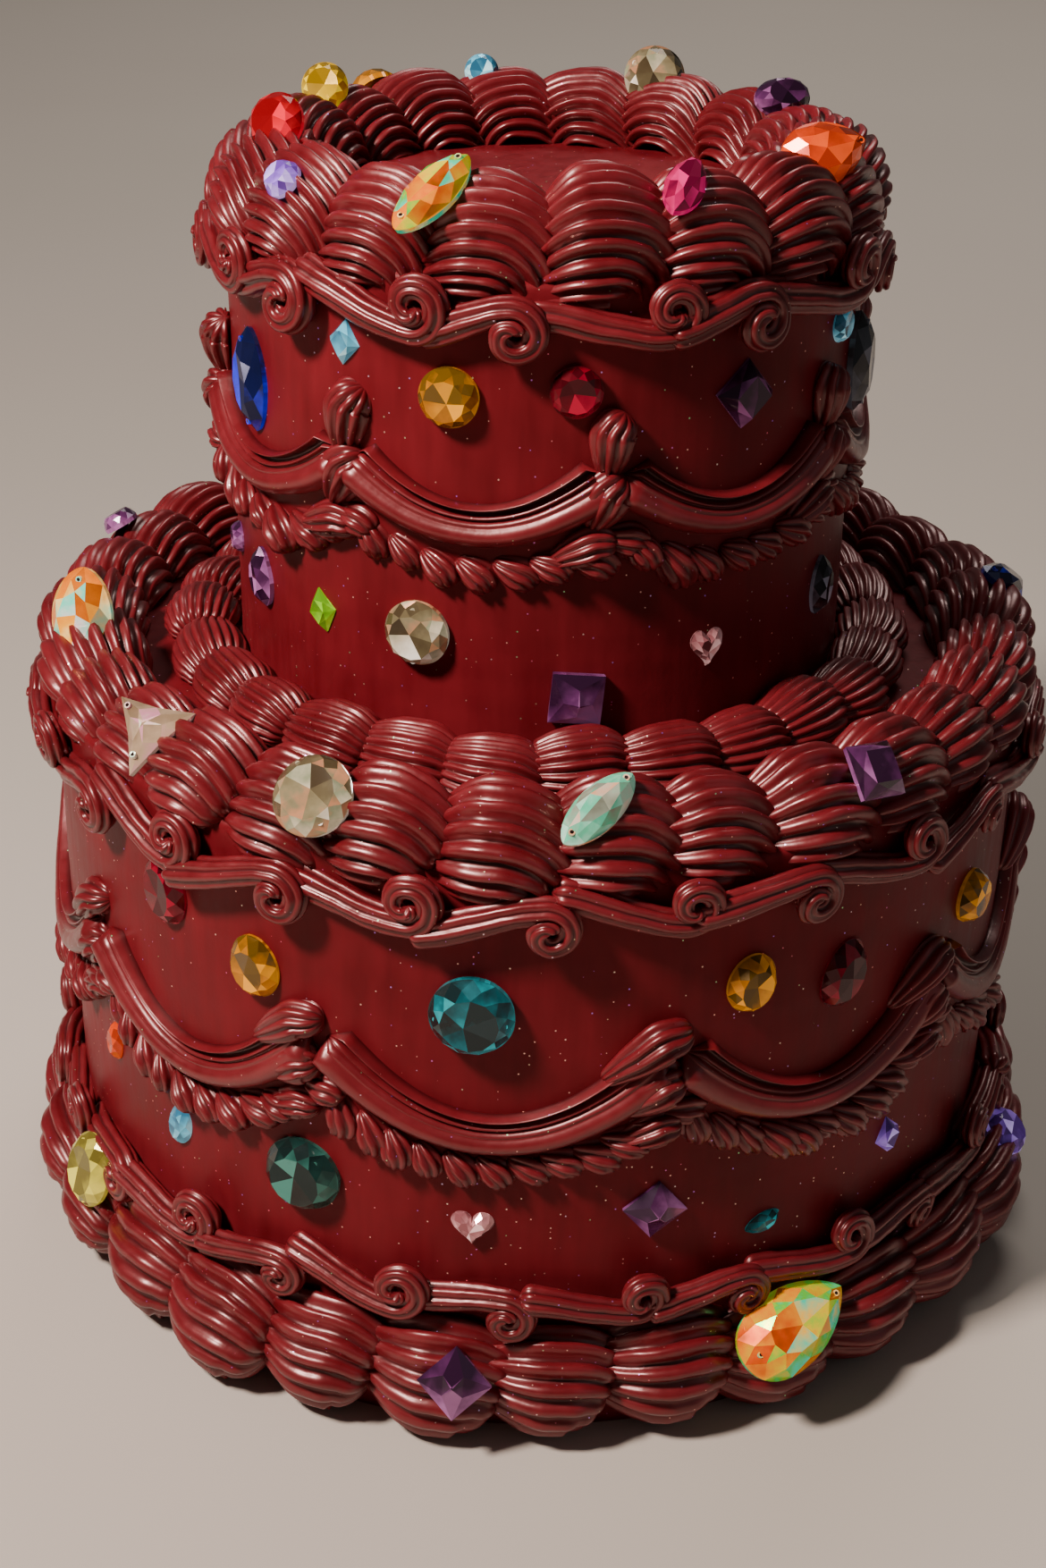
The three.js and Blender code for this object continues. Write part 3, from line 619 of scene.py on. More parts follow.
# the relief from the lower edge at -1 to the upper one at 1, in millimetres
across = (py + 0.4) / 0.62
half_round = (1 - across * across).math("MAXIMUM", 0.0) ** 0.5
relief = 0.5 + 4.2 * half_round + 1.7 * bead(0.2, 0.09) + 2.3 * bead(0.42, 0.1) + 2.6 * bead(0.86, 0.1)
edge = (px.math("ABSOLUTE") * 3.2).math("MINIMUM", 1.0) ** 0.5
depth_out = lies_out * edge * relief * mm - (1 - lies_out) * 1.2 * mm
# the relief is kept as the ridge measure, so the icing paints shade into the channel and the low parts of the
# band
profile = band.add("GeometryNodeStoreNamedAttribute", None, {
    "Geometry": profile, "Name": "ridge", "Value": band.band(relief, 0.8, 2.2)})
profile = band.move(profile, band.point(depth_out, py * band.given("Half width"), 0.0))
strip = band.add("GeometryNodeCurveToMesh", None, {
    "Curve": line, "Profile Curve": profile, "Scale": taper, "Fill Caps": True})
strip = band.add("GeometryNodeFlipFaces", None, {0: strip})
strip = band.uneven(strip, band.given("Unevenness"), band_lumps, band.given("Seed"))
band.end(band.wrap(strip, band.given("Radius"), 0.0, 0.0))

little_shell = {
    "tail": 0.34, "tail drop": 0.0, "tail inset": 0.5 * mm, "bend": 0.5, "bend radius": 5 * mm, "end": 0.9}
frill = Shape("frill", ["Radius", "Spacing", "Dip", "Unevenness", "Seed"], path=True)
little = frill.shell(steps=20, ridges=7, depth=0.3, sizes={
    **little_shell, "straight": 7.2 * mm, "full at": 7.8 * mm, "tip": 2.5 * mm, "out": 5.2 * mm,
    "inward": 2.5 * mm, "up": 4.7 * mm, "down": 4.7 * mm})
line = frill.add("GeometryNodeMeshToCurve", None, {0: frill.given("Path")})
line = frill.add("GeometryNodeResampleCurve", {"mode": "LENGTH"}, {
    "Curve": line, "Length": frill.given("Spacing")})
along = frill.add("FunctionNodeAlignRotationToVector", {"axis": "X", "pivot_axis": "Y"}, {
    "Vector": frill.add("GeometryNodeInputTangent")})
dipped = frill.add("FunctionNodeRotateRotation", {"rotation_space": "LOCAL"}, {
    0: along, 1: frill.point(0.0, frill.given("Dip"), 0.0)})
strip = frill.scatter(line, little, turn=0.16, least=0.82, most=1.12, seed=frill.given("Seed"),
                      rotation=dipped)
strip = frill.uneven(strip, frill.given("Unevenness"), frill_lumps, frill.given("Seed"))
frill.end(frill.wrap(strip, frill.given("Radius"), 0.0, 0.0))

drop = Shape("drop", ["Radius", "Length", "Half width", "Out", "Lean", "Unevenness", "Seed"], path=True)
drop_length = drop.given("Length")
upright_shell = drop.shell(steps=32, ridges=9, depth=0.26, sizes={
    **little_shell, "straight": drop_length * 0.6, "full at": drop_length * 0.66,
    "tip": drop_length * 0.2, "out": drop.given("Out"), "inward": 2 * mm, "up": drop.given("Half width"),
    "down": drop.given("Half width")})
standing = drop.point(0.0, drop.given("Lean") - math.pi / 2, 0.0)
standing = drop.add("FunctionNodeEulerToRotation", None, {0: standing})
strip = drop.scatter(drop.given("Path"), upright_shell, turn=0.08, least=0.92, most=1.08,
                     seed=drop.given("Seed"), rotation=standing)
strip = drop.uneven(strip, drop.given("Unevenness"), joint_lumps, drop.given("Seed"))
drop.end(drop.wrap(strip, drop.given("Radius"), 0.0, 0.0))

# The shells over a joint, from the top: how far right of the joint and how high their tails are,
# length, half width, how far they stand out, and how far the head leans to the right, in radians.
joint_shells = {
    "top_garland": {
        "upper": (-1.5, 232, 19, 5.8, 6.8, 0.1), "middle": (-5, 220, 17, 6.4, 7.0, 0.4),
        "lower": (-15, 212, 19, 5.2, 6.2, 1.15)},
    "bottom_garland": {
        "upper": (-17, 103.5, 27, 5.6, 7.4, 0.86), "middle": (-12, 95, 18, 6.4, 7.4, 0.85),
        "lower": (-14, 85.5, 18, 5.0, 6.2, 1.1)},
}
for node, garland in garlands.items():
    radius = garland["radius"]
    shared = {"Radius": radius, "Unevenness": 0.8 * mm, "Seed": garland["seed"]}
    path = swag_path(node + "_band_path", garland, garland["band"], band_trim)
    values = {**shared, "Half width": garland["half"]}
    pipe(node + "_bands", band, values, piped_icing, "piped_icing", node, path=path)
    path = swag_path(node + "_frill_path", garland, garland["frill"], frill_trim)
    values = {**shared, "Spacing": garland["frill pitch"], "Dip": 0.55}
    pipe(node + "_frill", frill, values, piped_icing, "piped_icing", path=path)
    for storey, (aside, height, length, half, out, lean) in joint_shells[node].items():
        feet = bpy.data.meshes.new(f"{node}_{storey}_feet")
        spots = [(math.radians(angle) * radius + aside * mm, 0, height * mm) for angle in garland["drops"]]
        feet.from_pydata(spots, [], [])
        values = {**shared, "Length": length * mm, "Half width": half * mm, "Out": out * mm, "Lean": lean}
        pipe(f"{node}_joints_{storey}", drop, values, piped_icing, "piped_icing", path=feet)

# ---- jewels ----
# Flat-backed plastic jewels, moulded with facets and polished, each pressed into the icing by its
# back. Most of the larger ones have two small holes for sewing them on.
girdle_share = 0.3
girdle_points_per_side = 4
back_share = 0.97
crown_rise = 0.6
# tones of the painted reflections in the table's sectors
painted_sector_tones = (0.08, 0.3, 0.42, 0.6, 0.95)
hole_radius = 0.8 * mm
hole_corners = 10
smallest_with_holes = 15 * mm
swirl_scale = 190


def round_outline(turn):
    return math.cos(turn), math.sin(turn)


def navette_outline(turn):
    return math.cos(turn) * abs(math.cos(turn)) ** 0.25, math.sin(turn)


def straight_outline(corners, first, reach=1.0, notch=None):
    """The outline of a polygon, or of a star where every other corner is drawn in to the notch."""
    def at(turn):
        place = (turn - first) / (2 * math.pi / corners)
        before = math.floor(place + 1e-6)
        share = place - before
        x, y = 0.0, 0.0
        for corner, weight in ((before, 1 - share), (before + 1, share)):
            radius = notch if notch and corner % 2 else reach
            x += weight * radius * math.cos(first + corner * 2 * math.pi / corners)
            y += weight * radius * math.sin(first + corner * 2 * math.pi / corners)
        return x, y
    return at


def pear_outline(turn):
    pinch = 0.5 * max(0.0, math.sin(turn))
    return math.cos(turn) * abs(math.cos(turn)) ** pinch, math.sin(turn) - 0.2 * math.cos(turn) ** 2


def heart_outline(turn):
    s = math.pi / 2 - turn
    lobe = 13 * math.cos(s) - 5 * math.cos(2 * s) - 2 * math.cos(3 * s) - math.cos(4 * s)
    return math.sin(s) ** 3, (lobe + 2.5) / 14.5


# Per cut: how many sides it has, its outline at unit reach, the way in radians in which the first
# side starts, and the table's share of its width.
cuts = {
    "round": (12, round_outline, 0.0, 0.68),
    "oval": (12, round_outline, 0.0, 0.66),
    "navette": (8, navette_outline, math.pi / 2, 0.56),
    "pear": (10, pear_outline, math.pi / 2, 0.56),
    "square": (4, straight_outline(4, math.pi / 4, math.sqrt(2)), math.pi / 4, 0.6),
    "pyramid": (4, straight_outline(4, math.pi / 4, math.sqrt(2)), math.pi / 4, 0.03),
    "lozenge": (4, straight_outline(4, 0.0), 0.0, 0.55),
    "heart": (16, heart_outline, math.pi / 2, 0.6),
    "trefoil": (6, straight_outline(6, math.pi / 2, notch=0.44), math.pi / 2, 0.12),
}
# Where the sewing holes are: the way from the centre, in degrees, and how far out towards the edge.
pair_of_holes = ((90, 0.78), (270, 0.78))
hole_places = {
    "round": pair_of_holes, "oval": pair_of_holes, "navette": pair_of_holes, "pear": pair_of_holes,
    "trefoil": ((90, 0.62), (210, 0.62))}


def jewel_mesh(name, cut, size, pose, contrast=1.0):
    """A cut stone in its place. Every facet has a tone, which is painted light and shade standing for
    the reflections inside the stone, and the way in which the foil behind it looks, and every point a
    measure of how far to the lower right it is."""
    sides, outline, first, table = cuts[cut]
    width, length, depth = size
    chance = random.Random(name)
    form = bmesh.new()
    facet = form.faces.layers.float.new("facet")
    hollow = form.faces.layers.float.new("hole")
    glint = form.faces.layers.float_vector.new("glint")
    lower = form.verts.layers.float.new("lower")

    def ring(scale, height, points, start):
        made = []
        for point in range(points):
            x, y = outline(start + 2 * math.pi * point / points)
            made.append(form.verts.new((scale * x * width / 2, scale * y * length / 2, height)))
        return made

    def add_facet(corners, tone, hole=0.0):
        face = form.faces.new(corners)
        face[facet] = 0.5 + contrast * (tone - 0.5)
        face[hollow] = hole

    half_side = math.pi / sides
    fine = girdle_points_per_side * sides
    girdle = girdle_share * depth
    back = ring(back_share, 0, fine, first)
    rim = ring(1.0, girdle, fine, first)
    middle = ring(0.53 + table / 2, girdle + crown_rise * (depth - girdle), sides, first + half_side)
    top = ring(table, depth, sides, first)
    centre = form.verts.new((0.2 * table * width / 2 * chance.uniform(-1, 1),
                             0.2 * table * length / 2 * chance.uniform(-1, 1), depth))
    add_facet(back[::-1], 0.5)
    # the girdle round the edge gets a high tone, a painted highlight along the rim
    for point in range(fine):
        after = (point + 1) % fine
        add_facet((back[point], back[after], rim[after], rim[point]), 0.8)
    for side in range(sides):
        after = (side + 1) % sides
        edge_start = girdle_points_per_side * side
        edge = [rim[(edge_start + step) % fine] for step in range(girdle_points_per_side + 1)]
        add_facet([middle[side]] + edge, chance.uniform(0.35, 0.75))
        add_facet((middle[side], edge[-1], middle[after], top[after]), chance.uniform(0.2, 0.8))
        add_facet((top[side], middle[side], top[after]), chance.uniform(0.35, 0.95))
    # painted reflections: the table shows the facets of the back through it, as a few broad sectors
    order = random.Random(name + cut).sample(painted_sector_tones * 2, len(painted_sector_tones) * 2)
    for sector, side in enumerate(range(0, sides, 2)):
        corners = [top[(side + step) % sides] for step in range(3)]
        add_facet([centre] + corners, order[sector % len(order)])

    if width * length > smallest_with_holes ** 2:
        for toward, reach in hole_places.get(cut, ()):
            x = reach * math.cos(math.radians(toward)) * width / 2
            y = reach * math.sin(math.radians(toward)) * length / 2
            level = girdle + 0.62 * (depth - girdle)
            bore, lip, foot = [], [], []
            for corner in range(hole_corners):
                turn = 2 * math.pi * corner / hole_corners
                for made, share, height in (
                    (bore, 0.6, level),
                    (lip, 1.0, level),
                    (foot, 1.1, girdle * 0.5),
                ):
                    radius = hole_radius * share
                    spot = (x + radius * math.cos(turn), y + radius * math.sin(turn), height)
                    made.append(form.verts.new(spot))
            # the lip round each hole is painted as a bright highlight ring, and the bore, marked as a hole,
            # is painted near black as shade
            for corner in range(hole_corners):
                after = (corner + 1) % hole_corners
                add_facet((foot[corner], foot[after], lip[after], lip[corner]), 0.9)
                add_facet((lip[corner], lip[after], bore[after], bore[corner]), 1.0)
            add_facet(bore, 0.0, 1.0)
            add_facet(foot[::-1], 0.0)

    # painted light, which comes in at the upper left and gathers at the lower right: the tones there are
    # raised
    seat = pose @ Vector((0, 0, 0))
    rightward = Vector((-seat.y, seat.x, 0)).normalized()
    for vert in form.verts:
        vert.co = pose @ vert.co
        off = (vert.co - seat) / (max(width, length) / 2)
        vert[lower] = 0.5 * off.dot(rightward) - 0.8 * off.z
    form.normal_update()
    for face in form.faces:
        face[glint] = face.normal + 0.3 * Vector([chance.uniform(-1, 1) for _ in range(3)])
    mesh = bpy.data.meshes.new(name)
    form.to_mesh(mesh)
    form.free()
    return mesh


def plastic_material(name, glow, stops):
    """Clear plastic in one dye with foil behind it. Its light is painted: each facet is coloured
    dark as painted shade, in its dye, or bright and glowing with painted gathered light.
    """
    material = bpy.data.materials.new(name)
    material.use_nodes = True
    tree = Tree(material.node_tree)
    skin = material.node_tree.nodes["Principled BSDF"]
    facet = tree.add("ShaderNodeAttribute", {"attribute_name": "facet"}, out="Fac")
    lower = tree.add("ShaderNodeAttribute", {"attribute_name": "lower"}, out="Fac")
    hole = tree.add("ShaderNodeAttribute", {"attribute_name": "hole"}, out="Fac")
    foil = tree.add("ShaderNodeAttribute", {"attribute_name": "glint"}, out="Vector")
    swirl = tree.noise(tree.add("ShaderNodeTexCoord", out="Object"), swirl_scale, 3)
    # tone is painted light: how much light each spot seems to gather, from its facet's tone, a rise towards
    # the lower right and cloudy swirls
    tone = tree.band(facet * 0.9 + lower * 0.22 + (swirl - 0.5) * 0.5, 0.0, 1.0)
    opaque = [(place, (*colour, 1)) for place, colour in stops]
    colour = tree.add("ShaderNodeValToRGB", {"stops": opaque}, {0: tone})
    # painted shade: the bore of a sewing hole is coloured near black
    colour = tree.mix(hole, colour, (0.02, 0.008, 0.008, 1))
    tree.group.links.new(colour.socket, skin.inputs["Base Color"])
    # painted glow: the brighter tones also shine as emission, for light gathered in the stone
    lit = tree.mix(tree.band(tone, 0.25, 0.95) * (1 - hole), (0, 0, 0, 1), colour)
    tree.group.links.new(lit.socket, skin.inputs["Emission Color"])
    tree.group.links.new((0.1 + swirl * 0.12).socket, skin.inputs["Roughness"])
    facing = tree.add("ShaderNodeVectorTransform", {
        "vector_type": "NORMAL", "convert_from": "OBJECT", "convert_to": "WORLD"}, {0: foil})
    tree.group.links.new(facing.socket, skin.inputs["Normal"])
    skin.inputs["Metallic"].default_value = 0.2
    skin.inputs["Specular IOR Level"].default_value = 0.2
    skin.inputs["Emission Strength"].default_value = glow
    skin.inputs["Coat Weight"].default_value = 0.35
    skin.inputs["Coat Roughness"].default_value = 0.03
    skin.inputs["IOR"].default_value = 1.5
    return material


def dye_and_painted_light(dark, body, bright):
    """The ramp of plastic of one dye: painted shade on its dark facets, the dye itself, and painted
    gathered light on those that are brightest.
    """
    return [(0.0, dark), (0.3, dark), (0.5, body), (0.78, bright), (1.0, bright)]


# What each kind of coloured foil gives back, from its darkest facets to its brightest: painted shade
# at the dark end, the foil's own colours between, and painted gathered light and reflection at the bright
# end.
sunset = [(0.0, (0.25, 0.06, 0.0)), (0.2, (0.85, 0.09, 0.0)), (0.36, (0.95, 0.28, 0.0)),
          (0.5, (0.75, 0.55, 0.0)), (0.62, (0.1, 0.55, 0.04)), (0.74, (0.01, 0.65, 0.4)),
          (0.88, (0.95, 0.45, 0.02)), (1.0, (1, 0.8, 0.4))]
dawn = [(0.0, (0.5, 0.1, 0.0)), (0.25, (0.85, 0.2, 0.0)), (0.45, (0.95, 0.38, 0.01)),
        (0.62, (1, 0.7, 0.25)), (0.76, (0.1, 0.7, 0.5)), (1.0, (1, 0.55, 0.6))]
petal = [(0.0, (0.2, 0.13, 0.07)), (0.3, (0.34, 0.23, 0.14)), (0.5, (0.6, 0.42, 0.27)),
         (0.66, (0.8, 0.3, 0.42)), (0.8, (0.85, 0.7, 0.55)), (1.0, (0.7, 0.95, 0.7))]
mint = [(0.0, (0.12, 0.1, 0.06)), (0.25, (0.3, 0.34, 0.26)), (0.42, (0.1, 0.65, 0.38)),
        (0.58, (0.4, 0.8, 0.6)), (0.72, (0.62, 0.56, 0.44)), (0.86, (0.85, 0.35, 0.16)),
        (1.0, (1, 0.82, 0.62))]
crystal = [(0.0, (0.06, 0.04, 0.02)), (0.26, (0.13, 0.1, 0.05)), (0.42, (0.24, 0.2, 0.11)),
           (0.54, (0.55, 0.24, 0.12)), (0.64, (0.27, 0.29, 0.17)), (0.8, (0.65, 0.55, 0.38)),
           (1.0, (1, 0.93, 0.8))]
sapphire = [(0.0, (0.004, 0.005, 0.025)), (0.6, (0.005, 0.007, 0.05)), (0.84, (0.008, 0.01, 0.6)),
            (1.0, (0.02, 0.03, 0.9))]
# Per colour: its slot, how strongly its painted glow shines, and what it gives back.
jewel_kinds = {
    "yellow": ("jewel_yellow", 0.45, dye_and_painted_light((0.3, 0.17, 0.001), (0.72, 0.43, 0.001), (0.95, 0.66, 0.005))),
    "lime": ("jewel_yellow", 0.25, dye_and_painted_light((0.16, 0.13, 0.02), (0.4, 0.35, 0.05), (0.8, 0.7, 0.08))),
    "amber": ("jewel_amber", 0.35, dye_and_painted_light((0.12, 0.06, 0.004), (0.45, 0.15, 0.0), (0.8, 0.32, 0.0))),
    "orange": ("jewel_amber", 0.35, dye_and_painted_light((0.4, 0.025, 0.0), (0.72, 0.05, 0.0), (0.9, 0.085, 0.0))),
    "red": ("jewel_red", 0.45, dye_and_painted_light((0.22, 0.0, 0.004), (0.55, 0.0, 0.01), (0.85, 0.0, 0.03))),
    "garnet": ("jewel_red", 0.2, dye_and_painted_light((0.05, 0.001, 0.004), (0.13, 0.001, 0.008), (0.3, 0.003, 0.022))),
    "magenta": ("jewel_pink", 0.4, dye_and_painted_light((0.1, 0.001, 0.02), (0.4, 0.002, 0.07), (0.85, 0.01, 0.2))),
    "rose": ("jewel_pink", 0.2, dye_and_painted_light((0.3, 0.09, 0.12), (0.6, 0.28, 0.34), (0.95, 0.6, 0.65))),
    "pink": ("jewel_pink", 0.2, dye_and_painted_light((0.25, 0.08, 0.09), (0.6, 0.27, 0.28), (1, 0.65, 0.65))),
    "purple": ("jewel_purple", 0.12, dye_and_painted_light((0.025, 0.006, 0.025), (0.1, 0.022, 0.095), (0.42, 0.15, 0.38))),
    "lilac": ("jewel_purple", 0.6, dye_and_painted_light((0.14, 0.05, 0.4), (0.3, 0.14, 0.75), (0.62, 0.46, 1))),
    "blue": ("jewel_blue", 0.4, sapphire),
    "sky": ("jewel_blue", 0.5, dye_and_painted_light((0.03, 0.16, 0.28), (0.12, 0.5, 0.7), (0.5, 0.9, 1))),
    "teal": ("jewel_green", 0.3, dye_and_painted_light((0.006, 0.018, 0.02), (0.006, 0.11, 0.13), (0.01, 0.5, 0.56))),
    "green": ("jewel_green", 0.1, dye_and_painted_light((0.005, 0.014, 0.013), (0.009, 0.036, 0.03), (0.045, 0.18, 0.14))),
    "spring": ("jewel_green", 0.5, dye_and_painted_light((0.1, 0.3, 0.005), (0.3, 0.7, 0.01), (0.55, 0.95, 0.05))),
    "clear": ("jewel_clear", 0.25, crystal),
    "dim": ("jewel_clear", 0.1, dye_and_painted_light((0.01, 0.01, 0.014), (0.05, 0.045, 0.06), (0.35, 0.33, 0.42))),
    "smoke": ("jewel_clear", 0.1, dye_and_painted_light((0.008, 0.008, 0.01), (0.03, 0.03, 0.035), (0.14, 0.14, 0.17))),
    "trefoil": ("jewel_rainbow", 0.15, petal),
    "mint": ("jewel_rainbow", 0.3, mint),
    "ledge_rainbow": ("jewel_rainbow", 0.5, dawn),
    "rainbow": ("jewel_rainbow", 0.5, sunset),
}
plastics = {
    kind: plastic_material(kind + "_plastic", glow, stops)
    for kind, (_, glow, stops) in jewel_kinds.items()}


def jewel_pose(back, face, tilt, turn):
    """Turned in its own plane, tilted up from the wall, turned to the side that it looks to, and
    moved until the middle of its back is at the place called back."""
    turned = Matrix.Rotation(math.radians(90 - tilt), 4, "X") @ Matrix.Rotation(math.radians(turn), 4, "Z")
    return Matrix.Translation(back) @ Matrix.Rotation(math.radians(face), 4, "Z") @ turned


# Two stones lie across the crests of two shells and stand out by this much more than their nodes.
lifted = {"ledge_trefoil": 3 * mm, "foot_lime_oval": 3 * mm}
# Per node: cut, width, length, depth, tilt up from the wall, turn, and the side it looks to, where
# that isn't straight out from the cake. Its place is where the frame has it.
jewels = {
    "crown_yellow_round": ("round", 12, 12, 5, 22, 0, -6),
    "crown_red_round": ("round", 14, 14, 5, 24, 0, -28),
    "crown_lilac_round": ("round", 9, 9, 4, 42, 0),
    "crown_rainbow_navette": ("navette", 11, 24, 5, 54, -24),
    "crown_sky_round": ("round", 9, 9, 4, 20, 0, 0),
    "crown_clear_round": ("round", 16, 16, 6, 20, 60, 4),
    "crown_purple_oval": ("oval", 15, 10, 5, 35, 0, 20),
    "crown_orange_pear": ("pear", 15, 22, 5, 30, -78, 22),
    "crown_magenta_navette": ("navette", 9, 18, 5, 60, -38),
    "crown_green_back": ("oval", 12, 16, 5, 30, 30),
    "crown_amber_back": ("round", 14, 14, 5, 34, 0),
    "top_wall_blue_navette": ("navette", 13, 25, 5, 0, 8),
    "top_wall_amber_round": ("round", 14, 14, 5, 0, 0),
    "top_wall_garnet_round": ("round", 12, 12, 4, 0, 0),
    "top_wall_purple_square": ("square", 11.5, 11.5, 5, 0, 40),
    "top_wall_smoke_navette": ("navette", 13, 25, 5, 0, 0),
    "top_wall_purple_navette": ("navette", 7.5, 15, 4, 0, 12),
    "top_wall_clear_round": ("round", 16, 16, 5, 0, 0),
    "top_wall_purple_pyramid": ("pyramid", 12.5, 12.5, 6, 0, -5),
    "top_wall_dim_navette": ("navette", 7.5, 15, 4, 0, -10),
    "top_wall_teal_back": ("round", 16, 16, 5, 0, 0),
    "top_wall_red_back": ("oval", 12, 17, 5, 0, 0),
    "top_wall_green_back": ("round", 14, 14, 5, 0, 0),
    "top_wall_clear_back": ("navette", 8, 17, 4, 0, 20),
    "top_wall_amber_back": ("pyramid", 12, 12, 5, 0, 40),
    "ledge_rainbow_navette": ("navette", 17, 26, 6, 14, 0, -20),
    "ledge_purple_round": ("round", 10, 10, 4, 58, 0),
    "ledge_trefoil": ("trefoil", 24, 24, 5, 46, 62, -28),
    "ledge_clear_round": ("round", 19, 19, 5, 42, 39),
    "ledge_mint_navette": ("navette", 10, 23, 5, 52, -46),
    "ledge_purple_square": ("square", 12, 13, 5, 44, -8),
    "ledge_blue_back": ("navette", 11, 24, 5, 50, 40),
    "ledge_amber_back": ("round", 18, 18, 5, 48, 0),
    "ledge_rose_back": ("pear", 13, 20, 5, 50, -50),
    "bottom_wall_garnet_oval": ("oval", 13, 19, 5, 0, 8),
    "bottom_wall_amber_oval": ("oval", 13, 16, 5, 0, 14),
    "bottom_wall_teal_round": ("round", 20, 20, 6, 0, 88),
    "bottom_wall_green_round": ("round", 20, 20, 6, 0, -40),
    "bottom_wall_purple_square": ("pyramid", 11.5, 11.5, 5, 0, 38),
    "bottom_wall_amber_right": ("oval", 12, 15, 5, 0, -16),
    "bottom_wall_garnet_right": ("oval", 12, 18, 5, 0, -20),
    "bottom_wall_amber_edge": ("round", 14, 14, 5, 0, 0),
    "bottom_wall_lime_back": ("round", 18, 18, 5, 0, 0),
    "bottom_wall_garnet_back": ("oval", 13, 18, 5, 0, 20),
    "bottom_wall_teal_back": ("navette", 13, 25, 5, 0, -20),
    "bottom_wall_purple_back": ("pyramid", 13, 13, 5, 0, 45),
    "bottom_wall_blue_back": ("round", 20, 20, 6, 0, 0),
    "foot_lime_oval": ("oval", 15, 20, 5, 20, 20, -45),
    "foot_purple_square": ("pyramid", 13, 13, 6, 25, 45),
    "foot_rainbow_pear": ("pear", 20, 34, 7, 45, -73),
    "foot_lilac_round": ("round", 14, 14, 5, 48, 0),
    "foot_teal_back": ("oval", 14, 18, 5, 38, 30),
}
for node, (cut, width, length, depth, tilt, turn, *looks) in jewels.items():
    low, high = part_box(node)
    centre = (low + high) / 2
    face = looks[0] if looks else math.degrees(math.atan2(centre.x, -centre.y))
    behind = Vector((0, 0, depth * mm / 2 - lifted.get(node, 0.0)))
    back = centre - jewel_pose(Vector(), face, tilt, turn).to_3x3() @ behind
    size = (width * mm, length * mm, depth * mm)
    mesh = jewel_mesh(node + "_stone", cut, size, jewel_pose(back, face, tilt, turn))
    kind = next(word for word in jewel_kinds if word in node)
    keep_piece(node + "_stone", mesh, plastics[kind], jewel_kinds[kind][0], node)

# Smaller stones stuck on the walls: colour, cut, width, length, angle, height and turn.
small_stones = {
    "top_tier": [
        ("sky", "lozenge", 8.5, 11, -34.6, 259, -6), ("spring", "lozenge", 8.5, 11, -41.1, 191.3, 14),
        ("pink", "heart", 9, 9.5, 30.6, 187.2, 0), ("purple", "round", 8, 8, -75, 194, 0),
        ("sky", "round", 9, 9, 63, 256.5, 0), ("pink", "heart", 9, 9.5, 148, 189, 0),
        ("amber", "lozenge", 8.5, 11, 192, 254, 10), ("teal", "lozenge", 8.5, 11, 240, 192, -10),
    ],
    "bottom_tier": [
        ("orange", "navette", 6.5, 12.5, -56.6, 74.5, -6), ("sky", "navette", 8, 13, -43.2, 65, -14),
        ("pink", "heart", 10.5, 9.5, -5.8, 61, 0), ("lilac", "lozenge", 9, 12, 45.2, 64, 10),
        ("teal", "navette", 5, 10, 27, 54.5, -70), ("pink", "heart", 10, 9.5, 84, 62, 0),
        ("clear", "lozenge", 9, 12, 121.8, 62, 0), ("magenta", "navette", 6.5, 13, 157, 62, 20),
        ("pink", "heart", 10, 9.5, 196, 62, 0), ("sky", "lozenge", 9, 12, 232, 62, 0),
        ("lime", "round", 10, 10, 276, 62, 0),
    ],
}
small_depth, small_sunk = 3 * mm, 0.8 * mm
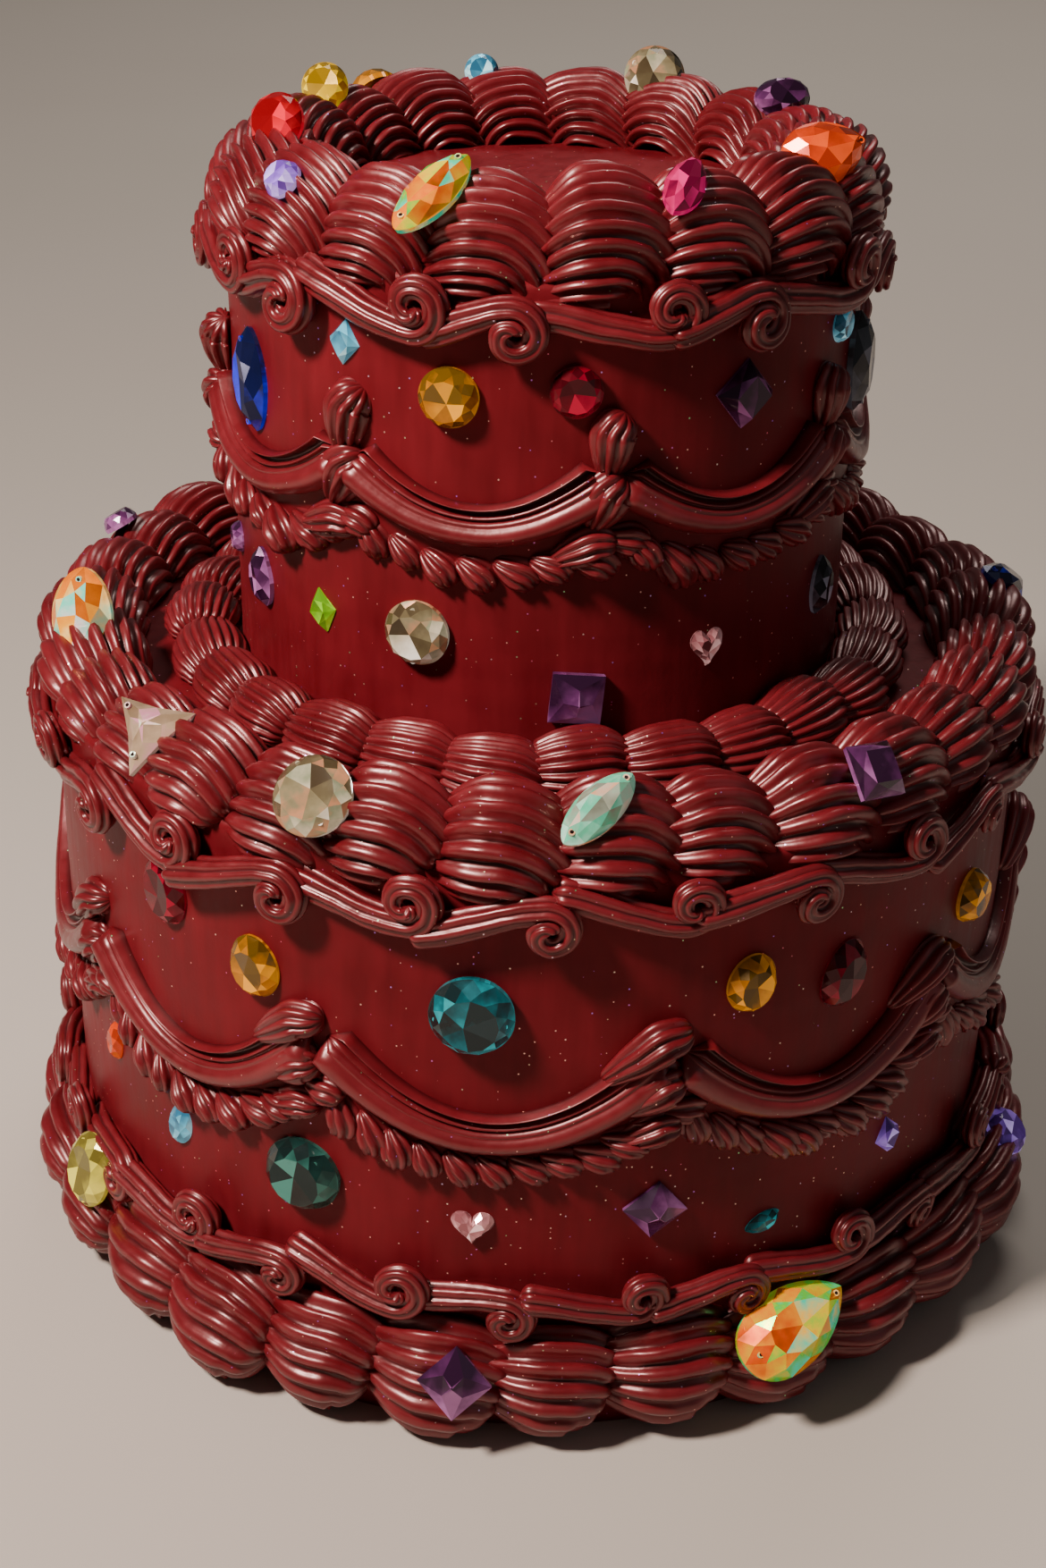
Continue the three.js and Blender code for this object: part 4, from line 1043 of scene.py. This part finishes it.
for tier, stones in small_stones.items():
    for number, (kind, cut, width, length, angle, height, turn) in enumerate(stones, 1):
        back = around(angle, tiers[tier]["radius"] - small_sunk, height * mm)
        name = f"{tier}_{kind}_{cut}_{number}"
        size = (width * mm, length * mm, small_depth)
        mesh = jewel_mesh(name, cut, size, jewel_pose(back, angle, 0, turn), contrast=0.6)
        keep_piece(name, mesh, plastics[kind], jewel_kinds[kind][0])

# ---- floor and light ----
# A plain pale table top under soft light from the upper left, with a weak fill from the right and
# a lamp of its own for the table top behind the cake.
floor_half_width = 6000 * mm
floor_mesh = bpy.data.meshes.new("floor")
floor_form = bmesh.new()
bmesh.ops.create_grid(floor_form, x_segments=1, y_segments=1, size=floor_half_width)
floor_form.to_mesh(floor_mesh)
floor_form.free()
floor = bpy.data.objects.new("floor", floor_mesh)
scene.collection.objects.link(floor)
floor_paint = bpy.data.materials.new("floor_paint")
floor_paint.use_nodes = True
floor_tree = Tree(floor_paint.node_tree)
floor_place = floor_tree.add("ShaderNodeTexCoord", out="Object")
floor_tone = floor_tree.mix(floor_tree.noise(floor_place, 3), (0.46, 0.4, 0.35, 1), (0.49, 0.43, 0.38, 1))
floor_skin = floor_paint.node_tree.nodes["Principled BSDF"]
floor_tree.group.links.new(floor_tone.socket, floor_skin.inputs["Base Color"])
floor_skin.inputs["Roughness"].default_value = 0.7
floor_mesh.materials.append(floor_paint)


def soft_light(name, place, size, watts, colour, aim=(0, 0, 0.15)):
    """A round lamp turned towards a place. Places and sizes are in metres."""
    data = bpy.data.lights.new(name, "AREA")
    data.shape = "DISK"
    data.size = size
    data.energy = watts
    data.color = colour
    lamp = bpy.data.objects.new(name, data)
    lamp.location = place
    lamp.rotation_euler = (Vector(aim) - Vector(place)).to_track_quat("-Z", "Y").to_euler()
    scene.collection.objects.link(lamp)


soft_light("key", (-0.5, -0.42, 0.85), 0.14, 19, (1, 0.88, 0.8))
soft_light("fill", (1.2, -0.8, 0.7), 1.2, 0.8, (0.9, 0.92, 1))
soft_light("backdrop", (0.4, 1.5, 2.2), 1.2, 30, (1, 0.96, 0.9), aim=(0.4, 1.6, 0))
world = bpy.data.worlds.new("studio")
world.use_nodes = True
world.node_tree.nodes["Background"].inputs["Color"].default_value = (0.8, 0.76, 0.72, 1)
world.node_tree.nodes["Background"].inputs["Strength"].default_value = 0.1
scene.world = world
